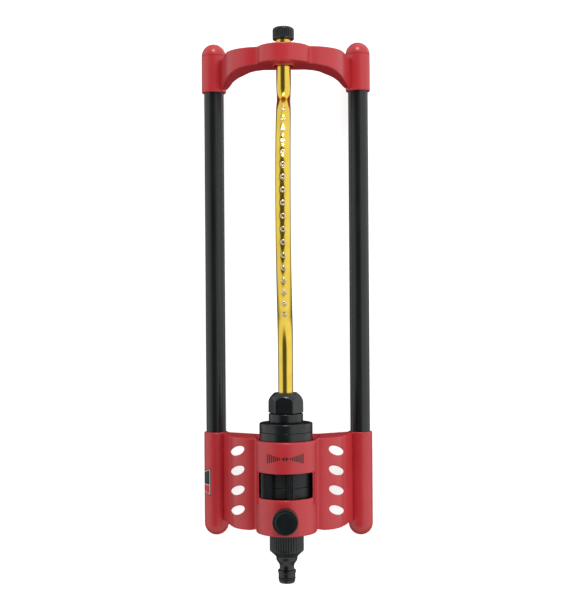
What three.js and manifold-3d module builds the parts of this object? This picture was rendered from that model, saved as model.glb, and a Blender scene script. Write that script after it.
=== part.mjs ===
// Oscillating lawn sprinkler: a bowed spray tube swings between an end arch and a water motor.
// Millimetres. +X runs across the feet, +Y along the spray tube towards its end plug, +Z up.
// The origin is on the ground, under the middle of the whole length and width.

import * as THREE from 'three';
import { mergeVertices } from 'three/addons/utils/BufferGeometryUtils.js';
import Module from 'manifold-3d';

const wasm = await Module();
wasm.setup();

// ---------------------------------------------------------------- driving dimensions

const GAP = 0.3; // clearance between pieces that seat on each other
const LARGE = 24; // sides of a large round piece
const ROUND = 16; // sides of a middling one
const SMALL = 12; // sides of a small one
const FINE = 6; // sides of a nozzle or a gear's bore

// frame
const SOCKET_R = 12; // tube sockets, which are also the feet
const FOOT_FLAT = 0.6; // depth of the flat under each socket
const LEG_Z = SOCKET_R - FOOT_FLAT;
const LEG_X = 72;
const LEG_TUBE_R = 9.75;
const LEG_TUBE_WALL = 1.2;
const SKIN = 2.6; // moulded wall of the housing and the arch
const WINDOW_X = 25;
const WINDOW_BOTTOM_Y = -179.65;
const WINDOW_TOP_Y = -155.65;

// lower housing, along Y
const HOUSING_TOP_Y = -126.95;
const HOUSING_BOTTOM_Y = -213.25;
const FOOT_DOME_Y = -217.85;

// end arch, along Y
const ARCH_SOCKET_Y = 211.75;
const ARCH_DOME_Y = 248.55;
const ARCH_INNER_Y = 226.8;
const ARCH_OUTER_Y = 243.6;

// cross-sections of the housing and the arch: a centre bulge between two arched wings
const HOUSING_SECTION = {
  bulgeR: 28.6, bulgeZ: 79.8, wingR: 27, wingX: 28, wingZ: 43.4, shoulder: 16, foot: [[56, 46.4], [61, 29.4]],
};
const ARCH_SECTION = {
  bulgeR: 26, bulgeZ: 71, wingR: 34, wingX: 24, wingZ: 44, shoulder: 12, foot: [[59.5, 41], [61.6, 29]],
};

// spray tube
const SPRAY_Z = 77.4;
const SPRAY_R = 7;
const SPRAY_BORE_R = 6;
const SPRAY_BOTTOM_Y = -108;
const SPRAY_TOP_Y = 249.05;
const BOW_R = 164; // radius of the bow's axis
const BOW_Y = 86.2; // middle of the bow
const BOW_RISE = 41; // how far the bow's top stands above the swing axis
const LOWER_BEND_R = 60;
const UPPER_BEND_R = 25;
const NOZZLE_COUNT = 18;
const NOZZLE_PITCH = THREE.MathUtils.degToRad(4);

// water motor, along Y
const MOTOR_R = 25.1;
const MOTOR_BORE_R = 23.3;
const CAP_TOP_Y = -111.05;
const CAP_BOTTOM_Y = -119.2;
const CASE_BOTTOM_Y = -155.4;
const HUB_R = 8;
const COLLAR_R = 16.2;
const COLLAR_TOP_Y = -102.35;
const NECK_R = 21; // the range rings turn on this neck
const CHAMBER_R = 19.2;
const CHAMBER_FLOOR_Y = -178.6;
const INLET_R = 12.6;
const INLET_END_Y = -226.1;
const VALVE_Y = -198.05;
const KNOB_R = 12;
const KNOB_BOTTOM_Z = 109.2;
const KNOB_TOP_Z = 117.4;

// gear train: the turbine drives three compound gears, and the last drives the output hub
const GEAR_MODULE = 0.75;
const PINION_TEETH = 8;
const WHEEL_TEETH = 24;
const SHAFT_R = 1;
const GEAR_BORE_R = 1.3;
const LEVEL_BASE_Y = -151.4; // bottom face of the lowest wheel
const LEVEL_PITCH = 4;
const GEAR_WIDTH = 2.8;
const LAYSHAFT_Z = SPRAY_Z - (GEAR_MODULE * (PINION_TEETH + WHEEL_TEETH)) / 2;

// ---------------------------------------------------------------- finishes

const finish = (color, roughness, metalness = 0) => ({ color, roughness, metalness });
const RED_PLASTIC = finish(0xb8383f, 0.38);
const BLACK_PLASTIC = finish(0x24282a, 0.35);
const WHITE_PLASTIC = finish(0xe4e2da, 0.5);
const GREY_RUBBER = finish(0x2b2b2c, 0.8);
const BLACK_TUBE = finish(0x2c2f30, 0.45, 0.2);
const GOLD_ALUMINIUM = finish(0xd9b94a, 0.25, 1);
const BRIGHT_METAL = finish(0xcfc6b2, 0.3, 1);
const STEEL = finish(0xa9abac, 0.35, 1);

// ---------------------------------------------------------------- solids

const { degToRad } = THREE.MathUtils;

// A closed geometry as a manifold solid: vertices merged, collapsed triangles dropped, faces out.
function solidOf(geometry) {
  const bare = geometry.clone();
  bare.deleteAttribute('normal');
  bare.deleteAttribute('uv');
  const merged = mergeVertices(bare, 1e-4);
  const index = merged.index.array;
  const points = merged.attributes.position.array;
  const triangles = [];
  for (let i = 0; i < index.length; i += 3) {
    const [a, b, c] = [index[i], index[i + 1], index[i + 2]];
    if (a !== b && b !== c && c !== a) triangles.push(a, b, c);
  }
  if (signedVolume(points, triangles) < 0) triangles.reverse();
  const mesh = new wasm.Mesh({
    numProp: 3,
    vertProperties: Float32Array.from(points),
    triVerts: Uint32Array.from(triangles),
  });
  return new wasm.Manifold(mesh);
}

function signedVolume(points, triangles) {
  const [a, b, c] = [new THREE.Vector3(), new THREE.Vector3(), new THREE.Vector3()];
  let total = 0;
  for (let i = 0; i < triangles.length; i += 3) {
    a.fromArray(points, 3 * triangles[i]);
    b.fromArray(points, 3 * triangles[i + 1]);
    c.fromArray(points, 3 * triangles[i + 2]);
    total += a.dot(b.cross(c));
  }
  return total / 6;
}

function geometryOf(solid) {
  const mesh = solid.getMesh();
  const geometry = new THREE.BufferGeometry();
  geometry.setAttribute('position', new THREE.Float32BufferAttribute(mesh.vertProperties, 3));
  geometry.setIndex(Array.from(mesh.triVerts));
  geometry.computeVertexNormals();
  return geometry;
}

const union = (...solids) => solids.reduce((whole, solid) => whole.add(solid));
const cut = (body, ...tools) => tools.reduce((whole, tool) => whole.subtract(tool), body);

// A profile of [radius, y] points turned about the spray axis.
function turned(profile, sides = ROUND) {
  return turnedAt(profile, sides, 0, SPRAY_Z);
}

function turnedAt(profile, sides, x, z) {
  const points = profile.map(([radius, y]) => new THREE.Vector2(radius, y));
  return solidOf(new THREE.LatheGeometry(points, sides).translate(x, 0, z));
}

const rod = (radius, from, to) => [[0, from], [radius, from], [radius, to], [0, to]];
const ring = (inner, outer, from, to) => [
  [inner, from], [outer, from], [outer, to], [inner, to], [inner, from],
];
const closed = (profile) => [...profile, profile[0]];

// A shape drawn in X and Z, extruded along Y. Each of its arcs gets arcSides sides.
function prismAlongY(shape, from, to, arcSides = SMALL) {
  const curveSegments = arcSides / 2;
  const geometry = new THREE.ExtrudeGeometry(shape, { depth: to - from, bevelEnabled: false, curveSegments });
  return solidOf(geometry.rotateX(Math.PI / 2).translate(0, to, 0));
}

// A shape drawn in X and Y, extruded along Z.
function prismAlongZ(shape, from, to, arcSides = SMALL) {
  const curveSegments = arcSides / 2;
  const geometry = new THREE.ExtrudeGeometry(shape, { depth: to - from, bevelEnabled: false, curveSegments });
  return solidOf(geometry.translate(0, 0, from));
}

// A profile of [radius, z] points turned about an upright axis through x, y.
function turnedUpright(profile, x, y, sides = ROUND) {
  const points = profile.map(([radius, height]) => new THREE.Vector2(radius, height));
  return solidOf(new THREE.LatheGeometry(points, sides).rotateX(Math.PI / 2).translate(x, y, 0));
}

function box([x0, y0, z0], [x1, y1, z1]) {
  const geometry = new THREE.BoxGeometry(x1 - x0, y1 - y0, z1 - z0);
  return solidOf(geometry.translate((x0 + x1) / 2, (y0 + y1) / 2, (z0 + z1) / 2));
}

function polygon(points) {
  return new THREE.Shape(points.map(([x, y]) => new THREE.Vector2(x, y)));
}

// ---------------------------------------------------------------- frame

// The valley where the bulge's circle meets the right wing's, as an angle on each circle.
function valleyOf(bulgeR, bulgeZ, wingR, wingX, wingZ) {
  const drop = wingZ - bulgeZ;
  const apart = Math.hypot(wingX, drop);
  const along = (bulgeR ** 2 - wingR ** 2 + apart ** 2) / (2 * apart);
  const off = Math.sqrt(bulgeR ** 2 - along ** 2);
  const x = (along * wingX - off * drop) / apart;
  const z = bulgeZ + (along * drop + off * wingX) / apart;
  return { onBulge: Math.atan2(z - bulgeZ, x), onWing: Math.atan2(z - wingZ, x - wingX) };
}

// A red moulding's section in X and Z: a centre bulge between two arched wings that come down
// to the sockets. inset moves its front inwards, and rear lists the right half's back edge.
function frameSection(section, inset, rear) {
  const { bulgeZ, wingX, wingZ } = section;
  const bulgeR = section.bulgeR - inset;
  const wingR = section.wingR - inset;
  const { onBulge, onWing } = valleyOf(bulgeR, bulgeZ, wingR, wingX, wingZ);
  const shoulder = degToRad(section.shoulder);
  const foot = section.foot.map(([x, z]) => [x - inset, z]);
  const shape = new THREE.Shape();
  shape.moveTo(-rear[0][0], rear[0][1]);
  foot.toReversed().forEach(([x, z]) => shape.lineTo(-x, z));
  shape.absarc(-wingX, wingZ, wingR, Math.PI - shoulder, Math.PI - onWing, true);
  shape.absarc(0, bulgeZ, bulgeR, Math.PI - onBulge, onBulge, true);
  shape.absarc(wingX, wingZ, wingR, onWing, shoulder, true);
  foot.forEach(([x, z]) => shape.lineTo(x, z));
  rear.forEach(([x, z]) => shape.lineTo(x, z));
  rear.toReversed().forEach(([x, z]) => shape.lineTo(-x, z));
  return shape;
}

// A tube socket with a domed end, at x, from its open end to the dome's centre.
function socket(x, openY, domeY) {
  const direction = Math.sign(domeY - openY);
  const profile = [[0, openY], [SOCKET_R, openY]];
  const steps = 4;
  for (let i = 0; i <= steps; i += 1) {
    const angle = (i / steps) * (Math.PI / 2);
    profile.push([SOCKET_R * Math.cos(angle), domeY + direction * SOCKET_R * Math.sin(angle)]);
  }
  profile[profile.length - 1][0] = 0;
  return turnedAt(profile, ROUND, x, LEG_Z);
}

const SOCKET_DEPTH = { housing: -206, arch: 242 };

function socketBore(x, from, to) {
  return turnedAt(rod(LEG_TUBE_R + GAP, from, to), ROUND, x, LEG_Z);
}

const belowGround = box([-100, -300, -20], [100, 300, 0]);
const SCREW_Y = { housing: -170, arch: 231 };
const SCREW_SHANK_R = 1.2;

const SCREW_HEAD_R = 2.9;

// A hole through the inner wall of a socket and its tube, for one side's screw, with room for its head.
function screwHole(side, y) {
  const seat = LEG_X - SOCKET_R;
  const across = (radius, from, to) => {
    const geometry = new THREE.CylinderGeometry(radius, radius, to - from, SMALL);
    return solidOf(geometry.rotateZ(Math.PI / 2).translate((side * (from + to)) / 2, y, LEG_Z));
  };
  return across(SCREW_SHANK_R + GAP, 50, seat + 7).add(across(SCREW_HEAD_R + GAP, 50, seat));
}

const HOLE_LENGTH = 18;
const HOLE_WIDTH = 9.6;
const HOLE_X = 44.5;
const HOLE_TOP_Y = -139.85;
const HOLE_PITCH = 18.95;
const HOLE_TILT = degToRad(24);

// An oval drain hole through a wing, its long axis rising towards the middle.
function wingHole(side, row) {
  const shape = new THREE.Shape();
  const slope = Math.cos(degToRad(38));
  shape.absellipse(0, 0, (HOLE_LENGTH * slope) / 2, HOLE_WIDTH / 2, 0, 2 * Math.PI, false, -side * HOLE_TILT);
  return prismAlongZ(shape, 35, 85).translate([side * HOLE_X, HOLE_TOP_Y - row * HOLE_PITCH, 0]);
}

function frontHousing() {
  const front = frameSection(HOUSING_SECTION, 0, [[66, LEG_Z + 8], [62, LEG_Z], [58, 15.4], [30, 30.4]]);
  const inner = frameSection(HOUSING_SECTION, SKIN, [[58.2, 20], [58.2, -5]]);
  const skinUnderside = HOUSING_SECTION.bulgeZ + HOUSING_SECTION.bulgeR - SKIN;
  const sides = [-1, 1];
  const rows = [0, 1, 2, 3];
  const boss = turnedUpright(rod(KNOB_R - 0.5, 100, KNOB_BOTTOM_Z - GAP), 0, VALVE_Y);
  const shell = union(
    cut(
      prismAlongY(front, HOUSING_BOTTOM_Y, HOUSING_TOP_Y),
      prismAlongY(inner, HOUSING_BOTTOM_Y + SKIN, HOUSING_TOP_Y - SKIN),
      turned(rod(MOTOR_R + 0.9, HOUSING_BOTTOM_Y + SKIN, HOUSING_TOP_Y + 1)),
    ),
    ...sides.map((side) => socket(side * LEG_X, HOUSING_TOP_Y, FOOT_DOME_Y)),
    boss,
  );
  return cut(
    shell,
    ...sides.map((side) => socketBore(side * LEG_X, SOCKET_DEPTH.housing, HOUSING_TOP_Y + 1)),
    ...sides.map((side) => screwHole(side, SCREW_Y.housing)),
    ...sides.flatMap((side) => rows.map((row) => wingHole(side, row))),
    box([-WINDOW_X, WINDOW_BOTTOM_Y, 82], [WINDOW_X, WINDOW_TOP_Y, 115]),
    turned(rod(INLET_R + 0.8, HOUSING_BOTTOM_Y - 1, HOUSING_BOTTOM_Y + SKIN + 1)),
    turnedUpright(rod(4.4, 95, 115), 0, VALVE_Y, SMALL),
    turnedUpright(rod(8.4, 90, skinUnderside), 0, VALVE_Y, SMALL),
    belowGround,
  );
}

// The arch's outline in X and Y. inset moves both edges inwards.
function archOutline(inset) {
  const inner = [
    [28, ARCH_INNER_Y], [35, 225.9], [41, 225], [46, 223.8], [51.5, 221.3], [57, 217.1], [66, 213], [72, 212],
  ];
  const outer = [[72, ARCH_OUTER_Y], [28, ARCH_OUTER_Y]];
  const right = [
    ...inner.map(([x, y]) => [x, y + inset]),
    ...outer.map(([x, y]) => [x, y - inset]),
  ];
  return polygon([...right, ...right.toReversed().map(([x, y]) => [-x, y])]);
}

const BUSH_R = 8.7;

function endArch() {
  const rear = [[68, LEG_Z], [62, 2], [58, 6], [51.5, 18.8], [46, 24.8], [40, 31], [33, 41], [20, 48]];
  const cavityRear = [[58.5, 20], [58.5, -5]];
  const band = prismAlongY(frameSection(ARCH_SECTION, 0, rear), ARCH_SOCKET_Y, 250)
    .intersect(prismAlongZ(archOutline(0), -20, 140));
  const cavity = prismAlongY(frameSection(ARCH_SECTION, SKIN, cavityRear), ARCH_SOCKET_Y, 250)
    .intersect(prismAlongZ(archOutline(SKIN), -20, 140));
  const sides = [-1, 1];
  const boss = turned(rod(BUSH_R + 2.5, ARCH_INNER_Y - 2.4, ARCH_OUTER_Y - 0.5));
  return cut(
    union(
      cut(band, cavity),
      boss,
      ...sides.map((side) => socket(side * LEG_X, ARCH_SOCKET_Y, ARCH_DOME_Y)),
    ),
    ...sides.map((side) => socketBore(side * LEG_X, ARCH_SOCKET_Y - 1, SOCKET_DEPTH.arch)),
    ...sides.map((side) => screwHole(side, SCREW_Y.arch)),
    turned(rod(BUSH_R + GAP, ARCH_INNER_Y - 5, ARCH_OUTER_Y + 5)),
    belowGround,
  );
}

function frameTube(side) {
  const profile = ring(
    LEG_TUBE_R - LEG_TUBE_WALL,
    LEG_TUBE_R,
    SOCKET_DEPTH.housing + GAP,
    SOCKET_DEPTH.arch - GAP,
  );
  const tube = turnedAt(profile, ROUND, side * LEG_X, LEG_Z);
  return cut(tube, screwHole(side, SCREW_Y.housing), screwHole(side, SCREW_Y.arch));
}

// A pan-head screw lying along X, its head against the socket's inner side.
function frameScrew(side, y) {
  const profile = [
    [0, -6.2], [SCREW_SHANK_R, -6.2], [SCREW_SHANK_R, 0], [SCREW_HEAD_R, 0],
    [SCREW_HEAD_R, 1.2], [1.6, 1.9], [0, 1.9],
  ];
  const points = profile.map(([radius, height]) => new THREE.Vector2(radius, height));
  const geometry = new THREE.LatheGeometry(points, SMALL).rotateZ((side * Math.PI) / 2);
  return solidOf(geometry.translate(side * (LEG_X - SOCKET_R - GAP), y, LEG_Z));
}

function endBearingBush() {
  return turned(ring(SPRAY_R + GAP, BUSH_R, ARCH_INNER_Y + 0.2, ARCH_OUTER_Y - 0.2));
}

// ---------------------------------------------------------------- spray tube

const BOW_Z = SPRAY_Z + BOW_RISE - BOW_R;

// Where a bend of the given radius meets the bow: the bow angle there, and the bend's far end.
function bendAt(radius) {
  const drop = SPRAY_Z + radius - BOW_Z;
  const angle = Math.acos(drop / (BOW_R + radius));
  return { angle, radius, reach: (BOW_R + radius) * Math.sin(angle) };
}

const LOWER_BEND = bendAt(LOWER_BEND_R);
const UPPER_BEND = bendAt(UPPER_BEND_R);

// The tube's axis: straight, a bend up, the bow, a bend down, straight. Its stations are placed
// by hand-set counts, so that the bends get more of them than the straights.
class SprayPath extends THREE.Curve {
  constructor() {
    super();
    this.stations = this.makeStations();
  }

  makeStations() {
    const { angle: low, radius: lowR, reach: lowReach } = LOWER_BEND;
    const { angle: high, radius: highR, reach: highReach } = UPPER_BEND;
    const stations = [[SPRAY_BOTTOM_Y, SPRAY_Z, 0]];
    const arc = (count, from, to, centreY, centreZ, radius, side) => {
      for (let i = 0; i < count; i += 1) {
        const angle = from + ((to - from) * i) / (count - 1);
        const y = centreY + radius * Math.sin(angle) * side;
        stations.push([y, centreZ + radius * Math.cos(angle) * side, -angle]);
      }
    };
    arc(5, 0, -low, BOW_Y - lowReach, SPRAY_Z + lowR, lowR, -1);
    arc(15, -low, high, BOW_Y, BOW_Z, BOW_R, 1);
    arc(4, high, 0, BOW_Y + highReach, SPRAY_Z + highR, highR, -1);
    stations.push([SPRAY_TOP_Y, SPRAY_Z, 0]);
    return stations.filter(([y], i) => i === 0 || y - stations[i - 1][0] > 0.5);
  }

  at(t) {
    const place = t * (this.stations.length - 1);
    const i = Math.min(Math.floor(place), this.stations.length - 2);
    const blend = place - i;
    return this.stations[i].map((value, k) => value + blend * (this.stations[i + 1][k] - value));
  }

  getUtoTmapping(u) {
    return u;
  }

  getPoint(t, target = new THREE.Vector3()) {
    const [y, z] = this.at(t);
    return target.set(0, y, z);
  }

  getTangent(t, target = new THREE.Vector3()) {
    const slope = this.at(t)[2];
    return target.set(0, Math.cos(slope), Math.sin(slope));
  }
}

// A nozzle's solid, turned about the local tube axis's normal, carried to its place on the bow.
function onBow(profile, index) {
  const angle = (index - (NOZZLE_COUNT - 1) / 2) * NOZZLE_PITCH;
  const points = profile.map(([radius, height]) => new THREE.Vector2(radius, height));
  const geometry = new THREE.LatheGeometry(points, FINE).rotateX(Math.PI / 2 - angle);
  const y = BOW_Y + BOW_R * Math.sin(angle);
  return solidOf(geometry.translate(0, y, BOW_Z + BOW_R * Math.cos(angle)));
}

const NOZZLE_STEM_R = 1.4;
const nozzles = Array.from({ length: NOZZLE_COUNT }, (_, index) => index);

function sprayTube() {
  const section = new THREE.Shape().absarc(0, 0, SPRAY_R, 0, 2 * Math.PI, false);
  section.holes.push(new THREE.Path().absarc(0, 0, SPRAY_BORE_R, 0, 2 * Math.PI, true));
  const path = new SprayPath();
  const geometry = new THREE.ExtrudeGeometry(section, {
    steps: path.stations.length - 1,
    extrudePath: path,
    curveSegments: SMALL / 2,
  });
  return cut(
    solidOf(geometry),
    ...nozzles.map((index) => onBow(rod(NOZZLE_STEM_R + GAP, 5, 9), index)),
  );
}

function nozzle(index) {
  const jet = 0.8;
  return onBow(closed([
    [jet, 5.6], [NOZZLE_STEM_R, 5.6], [NOZZLE_STEM_R, 7.3], [2.6, 7.3], [jet, 8.1],
  ]), index);
}

// ---------------------------------------------------------------- end plug

const PLUG_BASE_Y = SPRAY_TOP_Y + GAP;
const PLUG_STEM_END_Y = 238;

function endPlug() {
  const cap = turned([
    [0, PLUG_BASE_Y], [9.6, PLUG_BASE_Y], [10.2, 250.6], [10.2, 258.6],
    [8.8, 261], [6, 261.85], [0, 261.85],
  ]);
  const stem = turned([
    [0, PLUG_BASE_Y + 1], [5.6, PLUG_BASE_Y + 1], [5.6, 245.4], [4.3, 245.4],
    [4.3, 242.8], [5.6, 242.8], [5.6, PLUG_STEM_END_Y], [0, PLUG_STEM_END_Y],
  ]);
  return union(cap, stem);
}

const endPlugSeal = () => turned(ring(4.6, 5.7, 243.1, 245.1), SMALL);

const cleaningPin = () => turned(rod(0.6, 206, PLUG_STEM_END_Y - GAP), 8);

// ---------------------------------------------------------------- gears

// A spur gear's outline about x, z, with one tooth pointing along the given angle.
function gearShape(teeth, toothAngle, z, bore) {
  const pitchR = (GEAR_MODULE * teeth) / 2;
  const tip = pitchR + 0.75 * GEAR_MODULE;
  const root = pitchR - 1.1 * GEAR_MODULE;
  const half = Math.PI / teeth / 2;
  const corners = [[root, -1.2], [tip, -0.42], [tip, 0.42], [root, 1.2]];
  const points = [];
  for (let tooth = 0; tooth < teeth; tooth += 1) {
    const centre = toothAngle + (tooth * 2 * Math.PI) / teeth;
    corners.forEach(([radius, share]) => {
      const angle = centre + share * half;
      points.push([radius * Math.cos(angle), z + radius * Math.sin(angle)]);
    });
  }
  const shape = polygon(points);
  if (bore > 0) shape.holes.push(new THREE.Path().absarc(0, z, bore, 0, 2 * Math.PI, true));
  return shape;
}

// Teeth on the swing axis point down at the layshaft; a layshaft gear has a gap facing up.
const onSwingAxis = (teeth) => gearShape(teeth, -Math.PI / 2, SPRAY_Z, GEAR_BORE_R);
const onLayshaft = (teeth) => gearShape(teeth, Math.PI / 2 + Math.PI / teeth, LAYSHAFT_Z, GEAR_BORE_R);
const levelY = (level) => LEVEL_BASE_Y + level * LEVEL_PITCH;

// A wheel at one level with a pinion above it that reaches the next level's top.
function compoundGear(place, level) {
  const wheel = prismAlongY(place(WHEEL_TEETH), levelY(level), levelY(level) + GEAR_WIDTH, FINE);
  const pinion = prismAlongY(place(PINION_TEETH), levelY(level) + 1, levelY(level + 1) + GEAR_WIDTH, FINE);
  return union(wheel, pinion);
}

function turbineWheel() {
  const blades = 8;
  const points = [];
  for (let blade = 0; blade < blades; blade += 1) {
    const start = (blade * 2 * Math.PI) / blades;
    [[5, 0], [17.4, 0.12], [17.4, 0.22], [5, 0.3]].forEach(([radius, lead]) => {
      const angle = start + lead;
      points.push([radius * Math.cos(angle), SPRAY_Z + radius * Math.sin(angle)]);
    });
  }
  const shape = polygon(points);
  shape.holes.push(new THREE.Path().absarc(0, SPRAY_Z, GEAR_BORE_R, 0, 2 * Math.PI, true));
  const wheel = prismAlongY(shape, -174, -162, FINE);
  const pinion = prismAlongY(onSwingAxis(PINION_TEETH), -163, levelY(0) + GEAR_WIDTH, FINE);
  return union(wheel, pinion);
}

const GEAR_TOP_Y = levelY(3) + GEAR_WIDTH;

// The hollow shaft that carries the spray tube, with the last gear of the train on its foot.
function outputHub() {
  const bore = 5.5;
  const shaft = turned(closed([
    [SPRAY_R + GAP, -94], [10.5, -94], [10.5, COLLAR_TOP_Y], [COLLAR_R, COLLAR_TOP_Y],
    [COLLAR_R, CAP_TOP_Y + GAP], [HUB_R, CAP_TOP_Y + GAP], [HUB_R, levelY(3) + 1],
    [bore, levelY(3) + 1], [bore, SPRAY_BOTTOM_Y - GAP], [SPRAY_R + GAP, SPRAY_BOTTOM_Y - GAP],
  ]));
  const gear = prismAlongY(gearShape(WHEEL_TEETH, -Math.PI / 2, SPRAY_Z, 0), levelY(3), GEAR_TOP_Y, FINE);
  return union(shaft, cut(gear, turned(rod(bore, levelY(3) - 1, GEAR_TOP_Y + 1))));
}

const centralShaft = () => turned(rod(SHAFT_R, CHAMBER_FLOOR_Y + GAP, GEAR_TOP_Y + 2), 8);

function layshaft() {
  return turnedAt(rod(SHAFT_R, PLATE_TOP_Y + GAP, GEAR_TOP_Y + 2), 8, 0, LAYSHAFT_Z);
}

// ---------------------------------------------------------------- water motor

const PLATE_BOTTOM_Y = -153.7;
const PLATE_TOP_Y = -152.1;

// The plate between turbine and gears, with a ring of water ports.
function gearPlate() {
  const ports = 4;
  const holes = Array.from({ length: ports }, (_, i) => {
    const angle = ((i + 0.5) * 2 * Math.PI) / ports;
    const x = 14 * Math.cos(angle);
    return turnedAt(rod(3.2, -156, -150), FINE, x, SPRAY_Z + 14 * Math.sin(angle));
  });
  return cut(turned(ring(4.3, 23, PLATE_BOTTOM_Y, PLATE_TOP_Y)), ...holes);
}

function motorCase() {
  return turned(closed([
    [MOTOR_BORE_R, CAP_BOTTOM_Y - GAP], [MOTOR_R, CAP_BOTTOM_Y - GAP], [MOTOR_R, CASE_BOTTOM_Y],
    [20.5, CASE_BOTTOM_Y], [20.5, -154], [MOTOR_BORE_R, -154],
  ]), LARGE);
}

function motorCap() {
  const hole = HUB_R + 0.4;
  return turned(closed([
    [hole, CAP_TOP_Y], [MOTOR_R - 0.8, CAP_TOP_Y], [MOTOR_R, CAP_TOP_Y - 0.8], [MOTOR_R, CAP_BOTTOM_Y],
    [23, CAP_BOTTOM_Y], [23, -122], [11.5, -122], [11.5, -116.5], [hole, -116.5],
  ]), LARGE);
}

const outputSeal = () => turned(ring(HUB_R + GAP, 11.2, -119.5, -116.8));

const TRIP_Z = SPRAY_Z + 15;

// The rocking lever that turns the water round when the swing reaches a range ring's stop.
function tripLever() {
  const half = 5.5;
  const shape = new THREE.Shape();
  shape.absarc(half, TRIP_Z, 2, -Math.PI / 2, Math.PI / 2, false);
  shape.absarc(-half, TRIP_Z, 2, Math.PI / 2, (3 * Math.PI) / 2, false);
  shape.holes.push(new THREE.Path().absarc(0, TRIP_Z, SHAFT_R + GAP, 0, 2 * Math.PI, true));
  return prismAlongY(shape, -131.5, -126.5, FINE);
}

const tripPin = () => turnedAt(rod(SHAFT_R, -133, -122.3), 8, 0, TRIP_Z);

function valveBody() {
  const outer = turned([
    [0, -155.7], [NECK_R, -155.7], [NECK_R, -179.9], [24.4, -179.9], [24.4, -183.4], [15, -184.5],
    [15, -207], [INLET_R, -209], [INLET_R, INLET_END_Y], [0, INLET_END_Y],
  ]);
  const channel = turned([
    [0, -154], [CHAMBER_R, -154], [CHAMBER_R, CHAMBER_FLOOR_Y], [5, CHAMBER_FLOOR_Y],
    [5, -211], [7.5, -211], [7.5, -230], [0, -230],
  ]);
  return cut(
    union(outer, turnedUpright(rod(8, SPRAY_Z, 102), 0, VALVE_Y)),
    channel,
    turnedUpright(rod(4, 70, 105), 0, VALVE_Y, SMALL),
    turnedUpright(rod(6.3, 98.5, 105), 0, VALVE_Y, SMALL),
  );
}

const RING_R = 25.2;
const TAB_R = 30.5;
const RING_SPLIT_Y = -169.6;

// The part of a ring between two angles from straight up, positive towards +X.
function sector(innerR, outerR, fromDeg, toDeg) {
  const from = Math.PI / 2 - degToRad(fromDeg);
  const to = Math.PI / 2 - degToRad(toDeg);
  const shape = new THREE.Shape();
  shape.absarc(0, SPRAY_Z, outerR, from, to, true);
  shape.absarc(0, SPRAY_Z, innerR, to, from, false);
  return shape;
}

// A range ring with a finger tab that spans the whole window and overhangs the other ring.
function rangeRing(from, to, tabFromDeg, tabToDeg) {
  const reach = [WINDOW_BOTTOM_Y + 0.35, WINDOW_TOP_Y - 0.35];
  return union(
    turned(ring(NECK_R + 0.4, RING_R, from, to), LARGE),
    prismAlongY(sector(RING_R - 1, TAB_R, tabFromDeg, tabToDeg), from, to, 8),
    prismAlongY(sector(RING_R + 0.5, TAB_R, tabFromDeg, tabToDeg), ...reach, 8),
  );
}

const upperRangeRing = () => rangeRing(RING_SPLIT_Y + 0.2, WINDOW_TOP_Y - 0.35, -51.5, -26);
const lowerRangeRing = () => rangeRing(WINDOW_BOTTOM_Y + 0.35, RING_SPLIT_Y - 0.2, 4, 18);

// ---------------------------------------------------------------- gland nut

const GLAND_CORNER_R = 16.7;
const GLAND_TURN = degToRad(5); // how far the tightened nut has stopped past level

function glandNut() {
  const [bottom, top] = [-102.05, -82.95];
  const corners = Array.from({ length: 6 }, (_, i) => {
    const angle = (i * Math.PI) / 3 + GLAND_TURN;
    return [GLAND_CORNER_R * Math.cos(angle), SPRAY_Z + GLAND_CORNER_R * Math.sin(angle)];
  });
  const dome = turned([
    [0, bottom], [17, bottom], [17, -92.5], [16, -88.4], [14, -85.2], [11, top], [0, top],
  ], LARGE);
  return cut(
    prismAlongY(polygon(corners), bottom, top).intersect(dome),
    turned(rod(SPRAY_R + GAP, bottom - 1, top + 1)),
    turned(rod(10.8, bottom - 1, -90.2)),
  );
}

const glandSeal = () => turned(ring(SPRAY_R + GAP, 10.4, -93.7, -90.5), SMALL);

// ---------------------------------------------------------------- flow valve

function flowKnob() {
  return turnedUpright([
    [0, 114.3], [4, 114.3], [4, KNOB_BOTTOM_Z], [KNOB_R, KNOB_BOTTOM_Z], [KNOB_R, 115.4],
    [11.3, 116.8], [9.8, KNOB_TOP_Z], [0, KNOB_TOP_Z],
  ], 0, VALVE_Y, LARGE);
}

function valveSpindle() {
  const stem = turnedUpright(rod(3.6, 70.3, 114), 0, VALVE_Y, SMALL);
  const port = turned(rod(2.6, VALVE_Y - 8, VALVE_Y + 8), 8);
  return cut(stem, port);
}

const spindleSeal = () => turnedUpright(ring(3.9, 6, 98.8, 101.2), 0, VALVE_Y, SMALL);

// ---------------------------------------------------------------- hose connector

function hoseConnector() {
  return turned(closed([
    [13, -213.55], [16.1, -213.55], [16.1, -231.15], [10, -236.95], [9.7, -240.55], [6.85, -244.45],
    [6.85, -249.15], [8.46, -249.75], [8.46, -252.15], [7.92, -252.6], [7.92, -256.2], [6.5, -256.2],
    [6.5, -258.4], [7.9, -258.4], [7.4, -260.9], [6.6, -261.85], [4.6, -261.85], [4.6, -229], [13, -229],
  ]));
}

const connectorORing = () => turned(ring(6.8, 8.1, -258.1, -256.5));
const inletWasher = () => turned(ring(6, 12.5, -228.7, -226.4));

// A thimble strainer in the inlet's mouth.
function inletFilter() {
  return turned([
    [0, -212.3], [4.6, -212.3], [7.1, -226], [6.2, -226], [3.8, -213.3], [0, -213.3],
  ], SMALL);
}

// ---------------------------------------------------------------- assembly

const sprinkler = new THREE.Group();

function place(group, name, solid, look) {
  const mesh = new THREE.Mesh(geometryOf(solid), new THREE.MeshStandardMaterial(look));
  mesh.name = name;
  group.add(mesh);
}

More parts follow.
